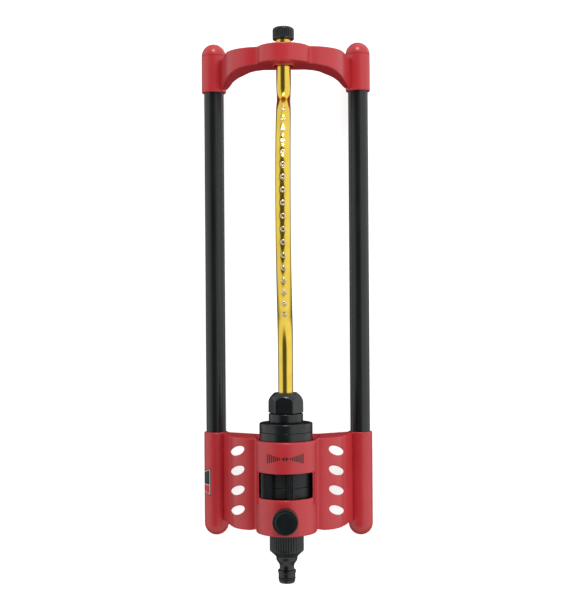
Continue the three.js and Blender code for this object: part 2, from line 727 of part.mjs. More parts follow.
const frame = new THREE.Group();
place(frame, 'front_housing', frontHousing(), RED_PLASTIC);
place(frame, 'end_arch', endArch(), RED_PLASTIC);
place(frame, 'left_frame_tube', frameTube(-1), BLACK_TUBE);
place(frame, 'right_frame_tube', frameTube(1), BLACK_TUBE);
place(frame, 'end_bearing_bush', endBearingBush(), WHITE_PLASTIC);
[[-1, 'housing'], [1, 'housing'], [-1, 'arch'], [1, 'arch']].forEach(([side, end], i) => {
  place(frame, `frame_screw_${i + 1}`, frameScrew(side, SCREW_Y[end]), STEEL);
});

const motor = new THREE.Group();
place(motor, 'motor_cap', motorCap(), BLACK_PLASTIC);
place(motor, 'motor_case', motorCase(), BLACK_PLASTIC);
place(motor, 'output_seal', outputSeal(), GREY_RUBBER);
place(motor, 'gear_plate', gearPlate(), WHITE_PLASTIC);
place(motor, 'valve_body', valveBody(), BLACK_PLASTIC);
place(motor, 'central_shaft', centralShaft(), STEEL);
place(motor, 'layshaft', layshaft(), STEEL);
place(motor, 'turbine_wheel', turbineWheel(), WHITE_PLASTIC);
[onLayshaft, onSwingAxis, onLayshaft].forEach((axis, level) => {
  place(motor, `gear_${level + 1}`, compoundGear(axis, level), WHITE_PLASTIC);
});
place(motor, 'trip_pin', tripPin(), STEEL);
place(motor, 'trip_lever', tripLever(), WHITE_PLASTIC);
place(motor, 'upper_range_ring', upperRangeRing(), BLACK_PLASTIC);
place(motor, 'lower_range_ring', lowerRangeRing(), BLACK_PLASTIC);

const valve = new THREE.Group();
place(valve, 'flow_knob', flowKnob(), BLACK_PLASTIC);
place(valve, 'valve_spindle', valveSpindle(), WHITE_PLASTIC);
place(valve, 'spindle_seal', spindleSeal(), GREY_RUBBER);

const inlet = new THREE.Group();
place(inlet, 'hose_connector', hoseConnector(), BLACK_PLASTIC);
place(inlet, 'connector_o_ring', connectorORing(), GREY_RUBBER);
place(inlet, 'inlet_washer', inletWasher(), GREY_RUBBER);
place(inlet, 'inlet_filter', inletFilter(), WHITE_PLASTIC);

const sprayArm = new THREE.Group();
place(sprayArm, 'output_hub', outputHub(), BLACK_PLASTIC);
place(sprayArm, 'gland_nut', glandNut(), BLACK_PLASTIC);
place(sprayArm, 'gland_seal', glandSeal(), GREY_RUBBER);
place(sprayArm, 'spray_tube', sprayTube(), GOLD_ALUMINIUM);
nozzles.forEach((index) => {
  place(sprayArm, `nozzle_${String(index + 1).padStart(2, '0')}`, nozzle(index), BRIGHT_METAL);
});
place(sprayArm, 'end_plug', endPlug(), BLACK_PLASTIC);
place(sprayArm, 'end_plug_seal', endPlugSeal(), GREY_RUBBER);
place(sprayArm, 'cleaning_pin', cleaningPin(), STEEL);

sprinkler.add(frame, motor, valve, inlet, sprayArm);

export default sprinkler;
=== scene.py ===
import math

import bmesh
import bpy
import numpy as np
from mathutils import Matrix, Vector


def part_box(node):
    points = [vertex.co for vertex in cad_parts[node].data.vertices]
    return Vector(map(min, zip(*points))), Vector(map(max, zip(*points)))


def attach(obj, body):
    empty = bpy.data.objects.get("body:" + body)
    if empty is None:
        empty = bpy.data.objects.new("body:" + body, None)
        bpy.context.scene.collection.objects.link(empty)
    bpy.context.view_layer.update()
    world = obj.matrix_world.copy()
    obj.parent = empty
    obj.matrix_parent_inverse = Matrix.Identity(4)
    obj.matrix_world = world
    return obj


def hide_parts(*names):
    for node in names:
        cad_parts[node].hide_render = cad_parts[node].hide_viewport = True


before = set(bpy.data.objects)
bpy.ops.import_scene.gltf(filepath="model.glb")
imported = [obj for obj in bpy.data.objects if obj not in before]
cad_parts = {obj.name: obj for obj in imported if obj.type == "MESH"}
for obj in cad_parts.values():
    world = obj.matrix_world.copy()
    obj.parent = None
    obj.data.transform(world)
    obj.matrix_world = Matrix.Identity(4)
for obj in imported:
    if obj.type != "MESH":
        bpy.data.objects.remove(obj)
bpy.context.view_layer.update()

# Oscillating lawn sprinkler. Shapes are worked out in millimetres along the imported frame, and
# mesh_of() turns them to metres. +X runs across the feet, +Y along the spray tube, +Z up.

MM = 0.001


# -------- sizes taken from the frame


def box_mm(node):
    """A CAD node's lowest and highest corners in millimetres."""
    low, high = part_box(node)
    return np.array(low) / MM, np.array(high) / MM


def middle(node):
    """The middle of a CAD node's box."""
    low, high = box_mm(node)
    return (low + high) / 2


def radius_x(node):
    """Half of a round node's width."""
    low, high = box_mm(node)
    return (high[0] - low[0]) / 2


HOUSING_LOW, HOUSING_HIGH = box_mm("front_housing")
ARCH_LOW, ARCH_HIGH = box_mm("end_arch")
LEG_LOW, LEG_HIGH = box_mm("right_frame_tube")
LEG_X, _, LEG_Z = middle("right_frame_tube")
LEG_R = radius_x("right_frame_tube")
SOCKET_R = HOUSING_HIGH[0] - LEG_X
SPRAY_LOW, SPRAY_HIGH = box_mm("spray_tube")
SPRAY_Z = middle("gland_nut")[2]
SPRAY_R = radius_x("spray_tube")
MOTOR_R = radius_x("motor_cap")
KNOB_LOW, KNOB_HIGH = box_mm("flow_knob")
KNOB_Y = middle("flow_knob")[1]
CONNECTOR_LOW, CONNECTOR_HIGH = box_mm("hose_connector")

HOUSING_TOP_Y = HOUSING_HIGH[1]
HOUSING_END_Y = CONNECTOR_HIGH[1] + 0.3  # the inlet nut stands just clear of the wall
HOUSING_DOME_Y = HOUSING_LOW[1] + SOCKET_R
ARCH_OPEN_Y = ARCH_LOW[1]
ARCH_DOME_Y = ARCH_HIGH[1] - SOCKET_R
ARCH_OUTER_Y = 243.6
SKIN = 2.6  # wall of the red mouldings
RIM_R = 1.3  # rounding along their rims

VALLEY_R = 2.6  # soft valley between a moulding's bulge and its wing

BOW_R = 164  # the bowed middle of the spray tube
BOW_Y = 86.2
BOW_RISE = 41
BOW_Z = SPRAY_Z + BOW_RISE - BOW_R
LOWER_BEND_R = 60
UPPER_BEND_R = 25
NOZZLE_COUNT = 18
NOZZLE_PITCH = math.radians(4)
TUBE_WALL = 1.0


# -------- surfaces


def grid_faces(rows, columns, wrap_rows=False, wrap_columns=True):
    """Quads of a grid of points stored row by row, joined round in either direction."""
    i = np.arange(rows if wrap_rows else rows - 1)[:, None]
    j = np.arange(columns if wrap_columns else columns - 1)[None, :]
    below = (i + 1) % rows
    beside = (j + 1) % columns
    corners = [i * columns + j, below * columns + j, below * columns + beside, i * columns + beside]
    return np.stack(np.broadcast_arrays(*corners), -1).reshape(-1, 4)


def solid(points, *face_sets):
    """A closed surface: its points as rows of x, y, z, and lists of faces."""
    return np.asarray(points, float).reshape(-1, 3), [list(map(int, f)) for faces in face_sets for f in faces]


def strip(edges):
    """A square strip between its four long edges, closed at both ends."""
    count = edges.shape[1]
    first = np.arange(4) * count
    sides = grid_faces(4, count, wrap_rows=True, wrap_columns=False)
    return solid(edges, sides, [first, first[::-1] + count - 1])


def joined(*solids):
    """Several solids that don't touch, as one."""
    points, faces, start = [], [], 0
    for p, f in solids:
        points.append(p)
        faces += [[start + k for k in face] for face in f]
        start += len(p)
    return np.concatenate(points), faces


def mesh_of(name, shape):
    """A mesh in metres: doubles at poles merged, faces turned outwards."""
    points, faces = shape
    mesh = bpy.data.meshes.new(name)
    mesh.from_pydata(points * MM, [], faces)
    work = bmesh.new()
    work.from_mesh(mesh)
    bmesh.ops.remove_doubles(work, verts=work.verts, dist=2e-6)
    bmesh.ops.dissolve_degenerate(work, edges=work.edges, dist=1e-6)
    bmesh.ops.recalc_face_normals(work, faces=work.faces)
    work.to_mesh(mesh)
    work.free()
    return mesh


def linked(name, data):
    """An object that holds the data, linked into the scene."""
    made = bpy.data.objects.new(name, data)
    bpy.context.scene.collection.objects.link(made)
    return made


def combined(name, base, adds=(), cuts=()):
    """base with the added solids joined to it and the cutting solids taken out, as one mesh."""
    body = linked(name, mesh_of(name, base))
    tools = []
    for operation, shapes in (("UNION", adds), ("DIFFERENCE", cuts)):
        for shape in shapes:
            tools.append(linked("tool", mesh_of("tool", shape)))
            step = body.modifiers.new(operation, "BOOLEAN")
            step.operation = operation
            step.solver = "MANIFOLD"
            step.object = tools[-1]
    depsgraph = bpy.context.evaluated_depsgraph_get()
    mesh = bpy.data.meshes.new_from_object(body.evaluated_get(depsgraph))
    for used in (body, *tools):
        bpy.data.objects.remove(used)
    return mesh


def show(name, mesh, body, material, stands_for=(), sharp=32):
    """Puts a finished mesh in the scene, riding on its body. Edges sharper than the angle stay crisp."""
    if isinstance(mesh, tuple):
        mesh = mesh_of(name, mesh)
    mesh.materials.clear()
    mesh.materials.append(material)
    mesh.shade_smooth()
    mesh.set_sharp_from_angle(angle=math.radians(sharp))
    piece = linked(name, mesh)
    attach(piece, body)
    if stands_for:
        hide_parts(*stands_for)


def rounded(corners, closed=False, steps=4):
    """A line through corners (a, b, fillet): each corner with a fillet becomes a short parabola
    that starts and ends that far from it, on its two sides. A closed line goes on to its start."""
    points = np.array([c[:2] for c in corners], float)
    line = []
    for k, corner in enumerate(corners):
        inner = closed or 0 < k < len(corners) - 1
        if len(corner) < 3 or not inner:
            line.append(points[k][None])
            continue
        before, after = points[k - 1] - points[k], points[(k + 1) % len(points)] - points[k]
        reach = [min(corner[2], 0.48 * np.linalg.norm(side)) for side in (before, after)]
        first = points[k] + before / np.linalg.norm(before) * reach[0]
        last = points[k] + after / np.linalg.norm(after) * reach[1]
        t = np.linspace(0, 1, steps + 1)[:, None]
        line.append((1 - t) ** 2 * first + 2 * t * (1 - t) * points[k] + t**2 * last)
    return np.concatenate(line)


def full_turn(count):
    """Evenly spaced angles once round."""
    return np.linspace(0, 2 * math.pi, count, endpoint=False)


def placed(across, along, up, axis, centre):
    """Points from a lathe's own directions: axis says which way its axis points, centre where it is."""
    x, y, z = centre
    if axis == "y":
        return np.stack([x + across, y + along, z + up], -1)
    if axis == "z":
        return np.stack([x + across, y + up, z + along], -1)
    return np.stack([x + along, y + across, z + up], -1)


def turned(profile, sides, axis="y", centre=(0, 0, SPRAY_Z), shape=None):
    """A profile of (radius, place along the axis) turned about the axis. One that starts on the axis
    ends on it too; any other is a closed loop. shape(angle, radius, along) gives the radius round the
    turn where it isn't a circle."""
    profile = np.asarray(profile, float)
    angle = full_turn(sides)[None, :]
    radius, along = profile[:, :1] + 0 * angle, profile[:, 1:2] + 0 * angle
    if shape is not None:
        radius = shape(angle, radius, along)
    points = placed(radius * np.sin(angle), along, radius * np.cos(angle), axis, centre)
    return solid(points, grid_faces(len(profile), sides, wrap_rows=profile[0, 0] > 0))


def bar(radius, low, high, fillet=0.0, sides=72, **where):
    """A plain round bar with its edges rounded, about the spray axis unless where says otherwise."""
    half = rounded([(0, low), (radius, low, fillet), (radius, high, fillet), (0, high)])
    return turned(half, sides, **where)


def straight(radius, start, end, count):
    """A profile's straight side in short steps, so that no facet is a long sliver."""
    return np.stack([np.full(count, float(radius)), np.linspace(start, end, count)], -1)


def ring(inner, outer, low, high, fillet):
    """The closed profile of a ring with its four edges rounded."""
    corners = [(inner, low), (outer, low), (outer, high), (inner, high)]
    return rounded([(*corner, fillet) for corner in corners], closed=True)


def block(low, high):
    """A plain box between two corners."""
    (x0, y0, z0), (x1, y1, z1) = low, high
    points = [[x, y, z] for x in (x0, x1) for y in (y0, y1) for z in (z0, z1)]
    return solid(points, [[0, 1, 3, 2], [4, 6, 7, 5], [0, 4, 5, 1], [2, 3, 7, 6], [0, 2, 6, 4], [1, 5, 7, 3]])


def outward(run):
    """Unit normals on the left of a line's steps."""
    return np.stack([-run[:, 1], run[:, 0]], -1) / np.linalg.norm(run, axis=1)[:, None]


def ladder_prism(front, rear, low_y, high_y, fillet):
    """A section in X and Z carried along Y. Its outline runs along the front line and back along
    the rear line. Each end is where low_y and high_y say for that x, and its rim is rounded by
    moving the outline in along its normals by fillet * (1 - sin angle) over a quarter turn."""
    rows = 24
    outline = np.concatenate([front, rear[::-1]])
    out = outward(np.roll(outline, -1, 0) - np.roll(outline, 1, 0))
    turn = np.linspace(0, math.pi / 2, 7)
    inset = fillet * (1 - np.sin(turn))
    from_end = fillet * (1 - np.cos(turn))
    low, high = low_y(outline[:, 0]), high_y(outline[:, 0])
    share = np.linspace(0, 1, rows)[1:-1, None]
    insets = np.concatenate([inset, np.zeros(rows - 2), inset[::-1]])[:, None, None]
    y = np.concatenate([
        low + from_end[:, None],
        (low + fillet) * (1 - share) + (high - fillet) * share,
        high - from_end[::-1, None],
    ])
    flat = outline[None] - out[None] * insets
    points = np.stack([flat[..., 0], y, flat[..., 1]], -1)
    count, half = len(outline), len(front)
    k = np.arange(half - 1)
    rungs = np.stack([k, k + 1, count - 2 - k, count - 1 - k], -1)
    last = (len(y) - 1) * count
    return solid(points, grid_faces(len(y), count), rungs, rungs[:, ::-1] + last)


def resampled(line, count):
    """The same line with that many points, evenly spaced along it."""
    line = np.asarray(line, float)
    length = np.concatenate([[0], np.cumsum(np.linalg.norm(np.diff(line, axis=0), axis=1))])
    at = np.linspace(0, length[-1], count)
    return np.stack([np.interp(at, length, line[:, 0]), np.interp(at, length, line[:, 1])], -1)


# -------- red mouldings


def arc(x, z, radius, start, end, count):
    """Points on a circle between two angles in degrees."""
    angle = np.radians(np.linspace(start, end, count))
    return np.stack([x + radius * np.cos(angle), z + radius * np.sin(angle)], -1)


def both_sides(right):
    """A whole line from -X to +X, from its right half that starts at the middle."""
    return np.concatenate([right[:0:-1] * [-1, 1], right])


def housing_line():
    """The housing's front: bulge arc, soft valley, wing arc and a steep foot on each side."""
    bulge_r, bulge_z, wing_r, wing_x, wing_z = 28.6, 79.8, 27, 28, 43.4
    wing_top = wing_z + math.sqrt(wing_r**2 - (bulge_r + VALLEY_R - wing_x) ** 2)
    start = math.degrees(math.asin((wing_top - wing_z) / wing_r))
    return both_sides(np.concatenate([
        arc(0, bulge_z, bulge_r, 90, 0, 33),
        arc(bulge_r + VALLEY_R, wing_top + VALLEY_R, VALLEY_R, 180, 270, 8),
        arc(wing_x, wing_z, wing_r, start, 14, 26)[1:],
        rounded([(54.2, 49.9), (56, 46.2, 4), (61, 29.4, 5), (64.2, 21.6)])[1:],
    ]))


def arch_line():
    """The arch's front: a lower bulge that runs through a shallow valley into wider wings."""
    bulge = arc(0, 71, 26, 90, 22, 30)
    wing = arc(24, 44, 34, 82, 12, 40)
    valley = rounded([tuple(bulge[-1]), (25.2, 78.4, 9), tuple(wing[0])], steps=7)
    foot = rounded([tuple(wing[-1]), (59.5, 41, 5), (61.6, 29, 4), (64.4, 21)])
    return both_sides(np.concatenate([bulge, valley[1:-1], wing, foot[1:]]))


HOUSING_FRONT = housing_line()
ARCH_FRONT = arch_line()


def front_height(x):
    """Height of the housing's front at x."""
    return np.interp(x, HOUSING_FRONT[:, 0], HOUSING_FRONT[:, 1])


def inner_front(front):
    """A front line moved in by the wall's thickness."""
    line = front - outward(np.gradient(front, axis=0)) * SKIN
    return line[np.abs(line[:, 0]) < 58.2]


def rear_line(front, outer_to_middle):
    """A rear line from -X to +X with as many points as the front, from its right half."""
    right = np.array(outer_to_middle, float)[::-1]
    return resampled(both_sides(right), len(front))


def eased(places, values):
    """A function of |x| through the given points, with its corners softened over 4 mm."""
    def height(x):
        return np.mean([np.interp(np.abs(x) + d, places, values) for d in np.linspace(-2, 2, 9)], 0)
    return height


def level(y):
    """A function that is y for every x."""
    return lambda x: y + 0 * x


def socket(side, open_y, dome_y, groove=False):
    """A tube socket with a rounded rim and a domed end, turned about the leg's axis."""
    to_end = math.copysign(1, dome_y - open_y)
    wall = rounded([(0, open_y), (SOCKET_R, open_y, 1.0), (SOCKET_R, dome_y - to_end * 2)])
    line = [wall[:-1], straight(SOCKET_R, open_y + to_end * 3, dome_y - to_end * 2, 12)]
    if groove:
        line.append([[SOCKET_R - 0.05, dome_y - to_end * 0.7], [SOCKET_R - 0.4, dome_y - to_end * 0.35]])
    angle = np.radians(np.linspace(0, 90, 15))
    dome = np.stack([SOCKET_R * np.cos(angle), dome_y + to_end * SOCKET_R * np.sin(angle)], -1)
    return turned(np.concatenate([*line, dome]), 72, centre=(side * LEG_X, 0, LEG_Z))


def leg_bore(side, low, high):
    """The hole in a socket that takes its leg tube."""
    return bar(LEG_R + 0.15, low, high, centre=(side * LEG_X, 0, LEG_Z))


def screw_bore(side, y):
    """The screw's hole through a socket's inner wall, with room for the head."""
    seat = LEG_X - SOCKET_R
    profile = [(0, 48), (3.2, 48), (3.2, seat), (1.4, seat), (1.4, seat + 6), (0, seat + 6)]
    return turned([(r, side * x) for r, x in profile], 24, "x", (0, y, LEG_Z))


def flared_hole(outline, fillet=0.8, below=30, draft=0.0):
    """A hole cut downwards through the front. outline(offset) gives its closed edge in X and Y,
    moved out by offset. Its wall leans out near the surface along a quarter circle of the fillet's
    radius: offset = r * (1 - sqrt(1 - (1 - depth / r)^2)), so that the rim is rounded. Further down
    the wall leans out again by the draft."""
    depth = fillet * np.array([0.12, 0.25, 0.45, 0.7, 1.0])
    offset = fillet * (1 - np.sqrt(1 - (1 - depth / fillet) ** 2))
    depth = np.concatenate([[-15, -0.3], depth, [depth[-1] + 4]])
    offset = np.concatenate([[offset[0] + 0.72] * 2, offset, [draft]])
    rings = []
    for d, o in zip(depth, offset):
        edge = outline(o)
        rings.append(np.column_stack([edge, front_height(edge[:, 0]) - d]))
    rings.append(np.column_stack([edge, 0 * edge[:, 0] + below]))
    count = len(edge)
    first, last = np.arange(count), np.arange(count) + (len(rings) - 1) * count
    return solid(np.concatenate(rings), grid_faces(len(rings), count), [first], [last[::-1]])


HOLE_X = 47.3
HOLE_TOP_Y = -139.85
HOLE_PITCH = 18.95
HOLE_TILT = math.radians(28.5)
HOLE_HALF_LENGTH = 7.6
HOLE_HALF_WIDTH = 3.9
HOLE_EGG = 0.06
HOLE_DRAFT = 1.1
HOLE_ROWS = 4


def wing_hole(side, row):
    """An oval drain hole whose long axis rises towards the middle. Its width is scaled by
    1 - egg * cos(angle), so that one end is fuller."""
    def outline(offset):
        angle = full_turn(56)
        along = (HOLE_HALF_LENGTH + offset) * np.cos(angle)
        across = (HOLE_HALF_WIDTH + offset) * np.sin(angle) * (1 - HOLE_EGG * np.cos(angle))
        x = along * math.cos(HOLE_TILT) + across * math.sin(HOLE_TILT)
        y = -along * math.sin(HOLE_TILT) + across * math.cos(HOLE_TILT)
        return np.stack([side * (HOLE_X + x), HOLE_TOP_Y - row * HOLE_PITCH + y], -1)
    return flared_hole(outline, draft=HOLE_DRAFT)


WINDOW_X = 25
WINDOW_LOW_Y = -179.65
WINDOW_HIGH_Y = -155.65
WINDOW_CORNER = 1.2


def window_hole():
    """The range rings' window, with its corners rounded and its long sides in short steps."""
    def outline(offset):
        x, low, high = WINDOW_X + offset, WINDOW_LOW_Y - offset, WINDOW_HIGH_Y + offset
        steps = np.linspace(-x + 1.5, x - 1.5, 33)[1:-1]
        return rounded([
            (-x, low, WINDOW_CORNER), *[(each, low) for each in steps], (x, low, WINDOW_CORNER),
            (x, high, WINDOW_CORNER), *[(each, high) for each in steps[::-1]], (-x, high, WINDOW_CORNER),
        ], closed=True)
    return flared_hole(outline, fillet=0.7, below=76)


def window_skirt(side):
    """The moulding's wall down the window's short side, and the foot it turns in below the rings.
    Together they close the view past the rings."""
    low_y, high_y = WINDOW_LOW_Y - 6, WINDOW_HIGH_Y + 0.5
    wall = sorted((side * (WINDOW_X + 0.3), side * (WINDOW_X + 2.2)))
    foot = sorted((side * (WINDOW_X - 1.8), side * (WINDOW_X + 2)))
    return [
        block((wall[0], low_y, 66), (wall[1], high_y, 92.2)),
        block((foot[0], low_y + 0.2, 60), (foot[1], high_y - 0.2, 66.5)),
    ]


SIDES = (-1, 1)
WING_DROP = 1.2  # the wings end lower than the bulge
BELOW_GROUND = block((-100, -300, -20), (100, 300, 0))


def points_and_faces(mesh):
    """A mesh's points in millimetres and its faces, to go on working with."""
    points = np.empty(len(mesh.vertices) * 3, np.float32)
    mesh.vertices.foreach_get("co", points)
    return points.reshape(-1, 3).astype(float) / MM, [list(p.vertices) for p in mesh.polygons]


def open_shell(front, rear, low_y, low_inside, high_y, cuts=()):
    """A moulding's block with rounded rims and its hollow taken out, open below. It is given as
    points and faces, to be joined and cut further."""
    body = ladder_prism(front, rear, low_y, level(high_y), RIM_R)
    inner = inner_front(front)
    floor = np.stack([inner[:, 0], 0 * inner[:, 0] - 5], -1)
    hollow = ladder_prism(inner, floor, low_inside, level(high_y - SKIN), 0.6)
    return points_and_faces(combined("open_shell", body, cuts=[hollow, *cuts]))


def front_housing():
    """The motor's red housing: a shell under the front line with two sockets, holes and a knob seat."""
    rear = rear_line(HOUSING_FRONT, [(64.2, 19.4), (62, 11.4), (58, 15.4), (30, 30.4), (0, 30.4)])
    end_line = eased([0, 29, 35, 72], HOUSING_END_Y - np.array([0, 0, WING_DROP, WING_DROP]))
    inside_y = HOUSING_END_Y + SKIN
    motor_bore = bar(MOTOR_R + 0.9, inside_y, HOUSING_TOP_Y + 6, sides=96)
    shell = open_shell(HOUSING_FRONT, rear, end_line, level(inside_y), HOUSING_TOP_Y, [motor_bore])
    upright = {"axis": "z", "centre": (0, KNOB_Y, 0)}
    seat = bar(KNOB_HIGH[0] - 0.5, 100, KNOB_LOW[2] - 0.3, 0.4, **upright)
    adds = [seat, *[socket(side, HOUSING_TOP_Y, HOUSING_DOME_Y) for side in SIDES]]
    adds += [wall for side in SIDES for wall in window_skirt(side)]
    cuts = [leg_bore(side, LEG_LOW[1] - 0.3, HOUSING_TOP_Y + 5) for side in SIDES]
    cuts += [screw_bore(side, middle("frame_screw_1")[1]) for side in SIDES]
    cuts += [wing_hole(side, row) for side in SIDES for row in range(HOLE_ROWS)]
    cuts += [
        window_hole(),
        bar(13.4, HOUSING_END_Y - 3, inside_y + 1),
        bar(4.4, 95, 115, sides=48, **upright),
        bar(8.4, 90, front_height(0) - SKIN, sides=48, **upright),
        BELOW_GROUND,
    ]
    return combined("front_housing", shell, adds, cuts)


def end_arch():
    """The red arch at the far end: the same front line, waisted in plan, over two domed sockets."""
    rear = rear_line(ARCH_FRONT, [(64.4, 16), (62, 4), (58, 6), (51.5, 18.8), (46, 24.8), (40, 31), (33, 41),
                                  (20, 48), (0, 48)])
    x = [0, 28, 35, 41, 46, 51.5, 57, 66, 72]
    inner_y = np.array([226.8, 226.8, 225.9, 225, 223.8, 221.3, 217.1, 213, 212])
    shell = open_shell(ARCH_FRONT, rear, eased(x, inner_y), eased(x, inner_y + SKIN), ARCH_OUTER_Y)
    bush_low, bush_high = box_mm("end_bearing_bush")
    bush_r = bush_high[0]
    boss = bar(bush_r + 2.2, bush_low[1] - 2.6, bush_high[1] - 0.3, 0.6)
    cuts = [leg_bore(side, ARCH_OPEN_Y - 5, LEG_HIGH[1] + 0.3) for side in SIDES]
    cuts += [screw_bore(side, middle("frame_screw_3")[1]) for side in SIDES]
    cuts += [bar(bush_r + 0.1, 215, 250), BELOW_GROUND]
    adds = [boss, *[socket(side, ARCH_OPEN_Y, ARCH_DOME_Y, groove=True) for side in SIDES]]
    return combined("end_arch", shell, adds, cuts)


SCALE_Y = -141.55
SCALE_LIFT = 0.06
SCALE_BARS = 7


def raised_bars(x_low, x_high, half_heights):
    """Thin printed bars on the bulge: each is a box from x_low to x_high that follows the front's
    height. half_heights has each bar's half height at its two sides."""
    x = np.stack([x_low, x_high], -1)
    z = front_height(x)
    corners = []
    for side, up in ((0, 1), (1, 1), (1, -1), (0, -1)):
        for rise in (SCALE_LIFT, -0.2):
            y = SCALE_Y + up * half_heights[:, side]
            corners.append(np.stack([x[:, side], y, z[:, side] + rise], -1))
    points = np.stack(corners, 1)
    faces = np.array([[0, 2, 4, 6], [7, 5, 3, 1], [0, 1, 3, 2], [2, 3, 5, 4], [4, 5, 7, 6], [6, 7, 1, 0]])
    all_faces = faces[None] + 8 * np.arange(len(points))[:, None, None]
    return solid(points, all_faces.reshape(-1, 4))


def range_scale():
    """The printed scale: bars that grow outwards on each side of two small arrowheads, which come
    last in each array."""
    place = np.linspace(5.2, 16.3, SCALE_BARS)
    tall = np.linspace(1.3, 4.45, SCALE_BARS)
    near, far = np.append(place - 0.57, 0.45), np.append(place + 0.57, 3.3)
    near_half, far_half = np.append(tall, 2.2), np.append(tall, 0.1)
    left = raised_bars(-far, -near, np.stack([far_half, near_half], -1))
    return joined(left, raised_bars(near, far, np.stack([near_half, far_half], -1)))


def label_patch(from_deg, to_deg, low, high, lift):
    """A thin patch on the left socket between two angles from straight up, negative towards -X.
    low and high give its ends along Y for shares 0 to 1 across it."""
    share = np.linspace(0, 1, 24)
    angle = np.radians(from_deg + (to_deg - from_deg) * share)
    y = np.stack([low(share), high(share)])
    skins = []
    for radius in (SOCKET_R + lift, SOCKET_R - 0.2):
        x = -LEG_X + radius * np.sin(angle) + 0 * y
        z = LEG_Z + radius * np.cos(angle) + 0 * y
        skins.append(np.stack([x, y, z], -1))
    return strip(np.stack([skins[0][0], skins[0][1], skins[1][1], skins[1][0]]))


LABEL_Y = -176


def side_label():
    """A plain label on the left socket: black ground, a thin white frame and a red field below."""
    def line(start, end):
        return lambda share: LABEL_Y + start + (end - start) * share
    ground = label_patch(-24, -88, line(-13.6, -9.5), line(13.6, 9.5), 0.04)
    frame_line = label_patch(-27.5, -84, line(-12.5, -8.9), line(12.5, 8.9), 0.06)
    field = label_patch(-30, -81.5, line(-2.6, -1.8), line(11.9, 8.4), 0.08)
    red = label_patch(-30, -81.5, line(-11.9, -8.4), line(-3.2, -2.4), 0.08)
    return joined(ground, field), frame_line, red


# -------- spray tube


def bend_at(radius):
    """Where a bend of that radius meets the bow: the slope there, whose cosine is the drop between
    the two centres over the sum of the radii, and the bend's far end from the bow's middle."""
    angle = math.acos((SPRAY_Z + radius - BOW_Z) / (BOW_R + radius))
    return angle, (BOW_R + radius) * math.sin(angle)


LOWER_SLOPE, LOWER_REACH = bend_at(LOWER_BEND_R)
UPPER_SLOPE, UPPER_REACH = bend_at(UPPER_BEND_R)
TUBE_START_Y = SPRAY_LOW[1]
TUBE_END_Y = SPRAY_HIGH[1]
PATH_STEP = 0.8


def spray_path():
    """The tube's axis: its slope goes along each stretch in proportion to the length, up through the
    lower bend, down over the bow, back to level through the upper bend. Y and Z are its sums."""
    lengths = [
        BOW_Y - LOWER_REACH - TUBE_START_Y,
        LOWER_BEND_R * LOWER_SLOPE,
        BOW_R * (LOWER_SLOPE + UPPER_SLOPE),
        UPPER_BEND_R * UPPER_SLOPE,
        TUBE_END_Y - BOW_Y - UPPER_REACH,
    ]
    marks = np.concatenate([[0], np.cumsum(lengths)])
    slopes = [0, 0, LOWER_SLOPE, -UPPER_SLOPE, 0, 0]
    s = np.linspace(0, marks[-1], int(marks[-1] / PATH_STEP) + 1)
    slope = np.interp(s, marks, slopes)
    between = (slope[1:] + slope[:-1]) / 2
    run = np.diff(s)
    y = TUBE_START_Y + np.concatenate([[0], np.cumsum(run * np.cos(between))])
    z = SPRAY_Z + np.concatenate([[0], np.cumsum(run * np.sin(between))])
    return s, marks, slope, y, z


def bump_at(s, place, width):
    """A smooth hump of height 1 round a place: exp(-(distance / width)^2)."""
    return np.exp(-(((s - place) / width) ** 2))


def nozzle_angles():
    """How far each nozzle stands round the bow from its middle."""
    return (np.arange(NOZZLE_COUNT) - (NOZZLE_COUNT - 1) / 2) * NOZZLE_PITCH


NOZZLE_SEAT_DEPTH = 0.55
NOZZLE_SEAT_WIDTH = 3.0
PINCH = 0.55


def spray_tube():
    """The bowed tube: a circle carried along the axis, narrowed where the upper bend pinched it, low
    and wide through the lower bend, pressed in under each nozzle by depth * exp(-(distance / width)^2)."""
    s, marks, slope, y, z = spray_path()
    sides = 72
    angle = full_turn(sides)[None, :]
    upper_bend = (marks[3] + marks[4]) / 2
    pinch = PINCH * bump_at(s, upper_bend - 3, 9)
    flat = bump_at(s, (marks[1] + marks[2]) / 2, 26)
    wide = (SPRAY_R - pinch + 0.175 * flat)[:, None]
    tall = (SPRAY_R - 0.2 * flat)[:, None]
    bow_middle = marks[2] + BOW_R * LOWER_SLOPE
    seats = bow_middle + BOW_R * nozzle_angles()
    from_seat = np.min(np.abs(s[:, None] - seats[None, :]), 1)[:, None]
    round_way = SPRAY_R * np.abs(np.arctan2(np.sin(angle), np.cos(angle)))
    press = NOZZLE_SEAT_DEPTH * np.exp(-(from_seat**2 + round_way**2) / NOZZLE_SEAT_WIDTH**2)
    skins = []
    for wall in (0.0, TUBE_WALL):
        across = (wide - wall) * np.sin(angle)
        up = (tall - wall) * np.cos(angle) - press
        skins.append(np.stack([
            across,
            y[:, None] - up * np.sin(slope)[:, None],
            z[:, None] + up * np.cos(slope)[:, None],
        ], -1))
    loop = np.concatenate([skins[0], skins[1][::-1]])
    return solid(loop, grid_faces(len(loop), sides, wrap_rows=True))


